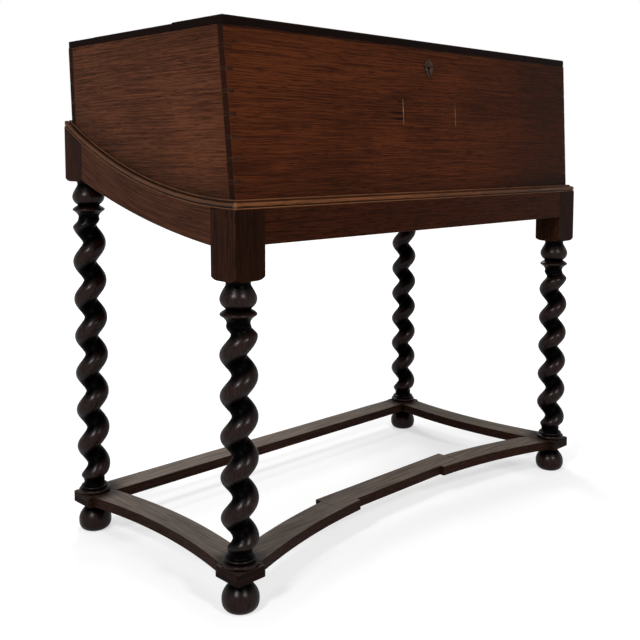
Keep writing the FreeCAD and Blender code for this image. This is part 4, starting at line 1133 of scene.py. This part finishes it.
FLOOR_GREY = 0.45
FLOOR_RADIUS = 20
FLOOR_SIDES = 96
AMBIENT = 0.22
SENSOR = 36.0
PICTURE = 640
FOCUS = 897.6
SHIFT = -0.14
EYE = (-1.2401, -1.1983, 0.6713)
VIEW_TURN = math.radians(44.543)
VIEW_DOWN = math.radians(4.866)
# Place, aim, size in metres and power in watts.
LAMPS = {
    "lamp_left": ((-2.6, -0.9, 2.2), (0, 0, 0.55), 0.5, 60),
    "lamp_front": ((-0.6, -2.9, 2.3), (0, 0, 0.5), 0.4, 48),
    "lamp_over": ((0.2, 0.4, 3.0), (0, 0, 0.4), 1.2, 45),
    "lamp_back": ((1.6, 2.6, 2.4), (0, 0, 0.4), 1.0, 40),
}


def seen_rays(tree):
    """1 on rays from the camera, and on those that metal or glass sends on."""
    path = tree.nodes.new("ShaderNodeLightPath")
    kinds = ("Is Camera Ray", "Is Glossy Ray", "Is Transmission Ray")
    return most(tree, *(path.outputs[kind] for kind in kinds))


floor_white = bpy.data.materials.new("floor_white")
floor_white.use_nodes = True
tree = floor_white.node_tree
shader = tree.nodes["Principled BSDF"]
shader.inputs["Base Color"].default_value = (FLOOR_GREY, FLOOR_GREY, FLOOR_GREY, 1)
shader.inputs["Roughness"].default_value = 0.9
shader.inputs["Specular IOR Level"].default_value = 0.0
where = tree.nodes.new("ShaderNodeTexCoord")
away = tree.nodes.new("ShaderNodeVectorMath")
away.operation = "LENGTH"
tree.links.new(where.outputs["Object"], away.inputs[0])
glow = ramp(tree, away.outputs["Value"], 0.8, 3.0, 0.6, 1.0)
shader.inputs["Emission Color"].default_value = (1, 1, 1, 1)
tree.links.new(maths(tree, "MULTIPLY", seen_rays(tree), glow), shader.inputs["Emission Strength"])
clear_selection()
bpy.ops.mesh.primitive_circle_add(vertices=FLOOR_SIDES, radius=FLOOR_RADIUS, fill_type="NGON")
floor = bpy.context.object
floor.name = "floor"
floor.data.materials.append(floor_white)

world = bpy.data.worlds.new("studio")
bpy.context.scene.world = world
world.use_nodes = True
tree = world.node_tree
sky = tree.nodes["Background"]
sky.inputs["Color"].default_value = (1, 1, 1, 1)
where = tree.nodes.new("ShaderNodeTexCoord")
way_up = tree.nodes.new("ShaderNodeSeparateXYZ")
tree.links.new(where.outputs["Generated"], way_up.inputs[0])
ceiling = ramp(tree, way_up.outputs[2], 0.30, 0.70, 1.0, 0.25)
tree.links.new(ramp(tree, seen_rays(tree), 0.0, 1.0, AMBIENT, ceiling), sky.inputs["Strength"])


def lamp(name, spot, aim, size, watts):
    """A square soft lamp turned to its aim."""
    light = bpy.data.lights.new(name, "AREA")
    light.size = size
    light.energy = watts
    made = bpy.data.objects.new(name, light)
    bpy.context.scene.collection.objects.link(made)
    made.location = spot
    from_spot = [a - b for a, b in zip(aim, spot)]
    flat = math.hypot(from_spot[0], from_spot[1])
    made.rotation_euler = (math.atan2(flat, -from_spot[2]), 0, math.atan2(-from_spot[0], from_spot[1]))


for name, (spot, aim, size, watts) in LAMPS.items():
    lamp(name, spot, aim, size, watts)

eye = bpy.data.cameras.new("camera")
eye.sensor_width = SENSOR
eye.lens = FOCUS / PICTURE * SENSOR
eye.shift_y = SHIFT
camera = bpy.data.objects.new("camera", eye)
bpy.context.scene.collection.objects.link(camera)
camera.location = EYE
camera.rotation_euler = (math.pi / 2 - VIEW_DOWN, 0, -VIEW_TURN)
bpy.context.scene.camera = camera
bpy.context.scene.view_settings.view_transform = "Standard"
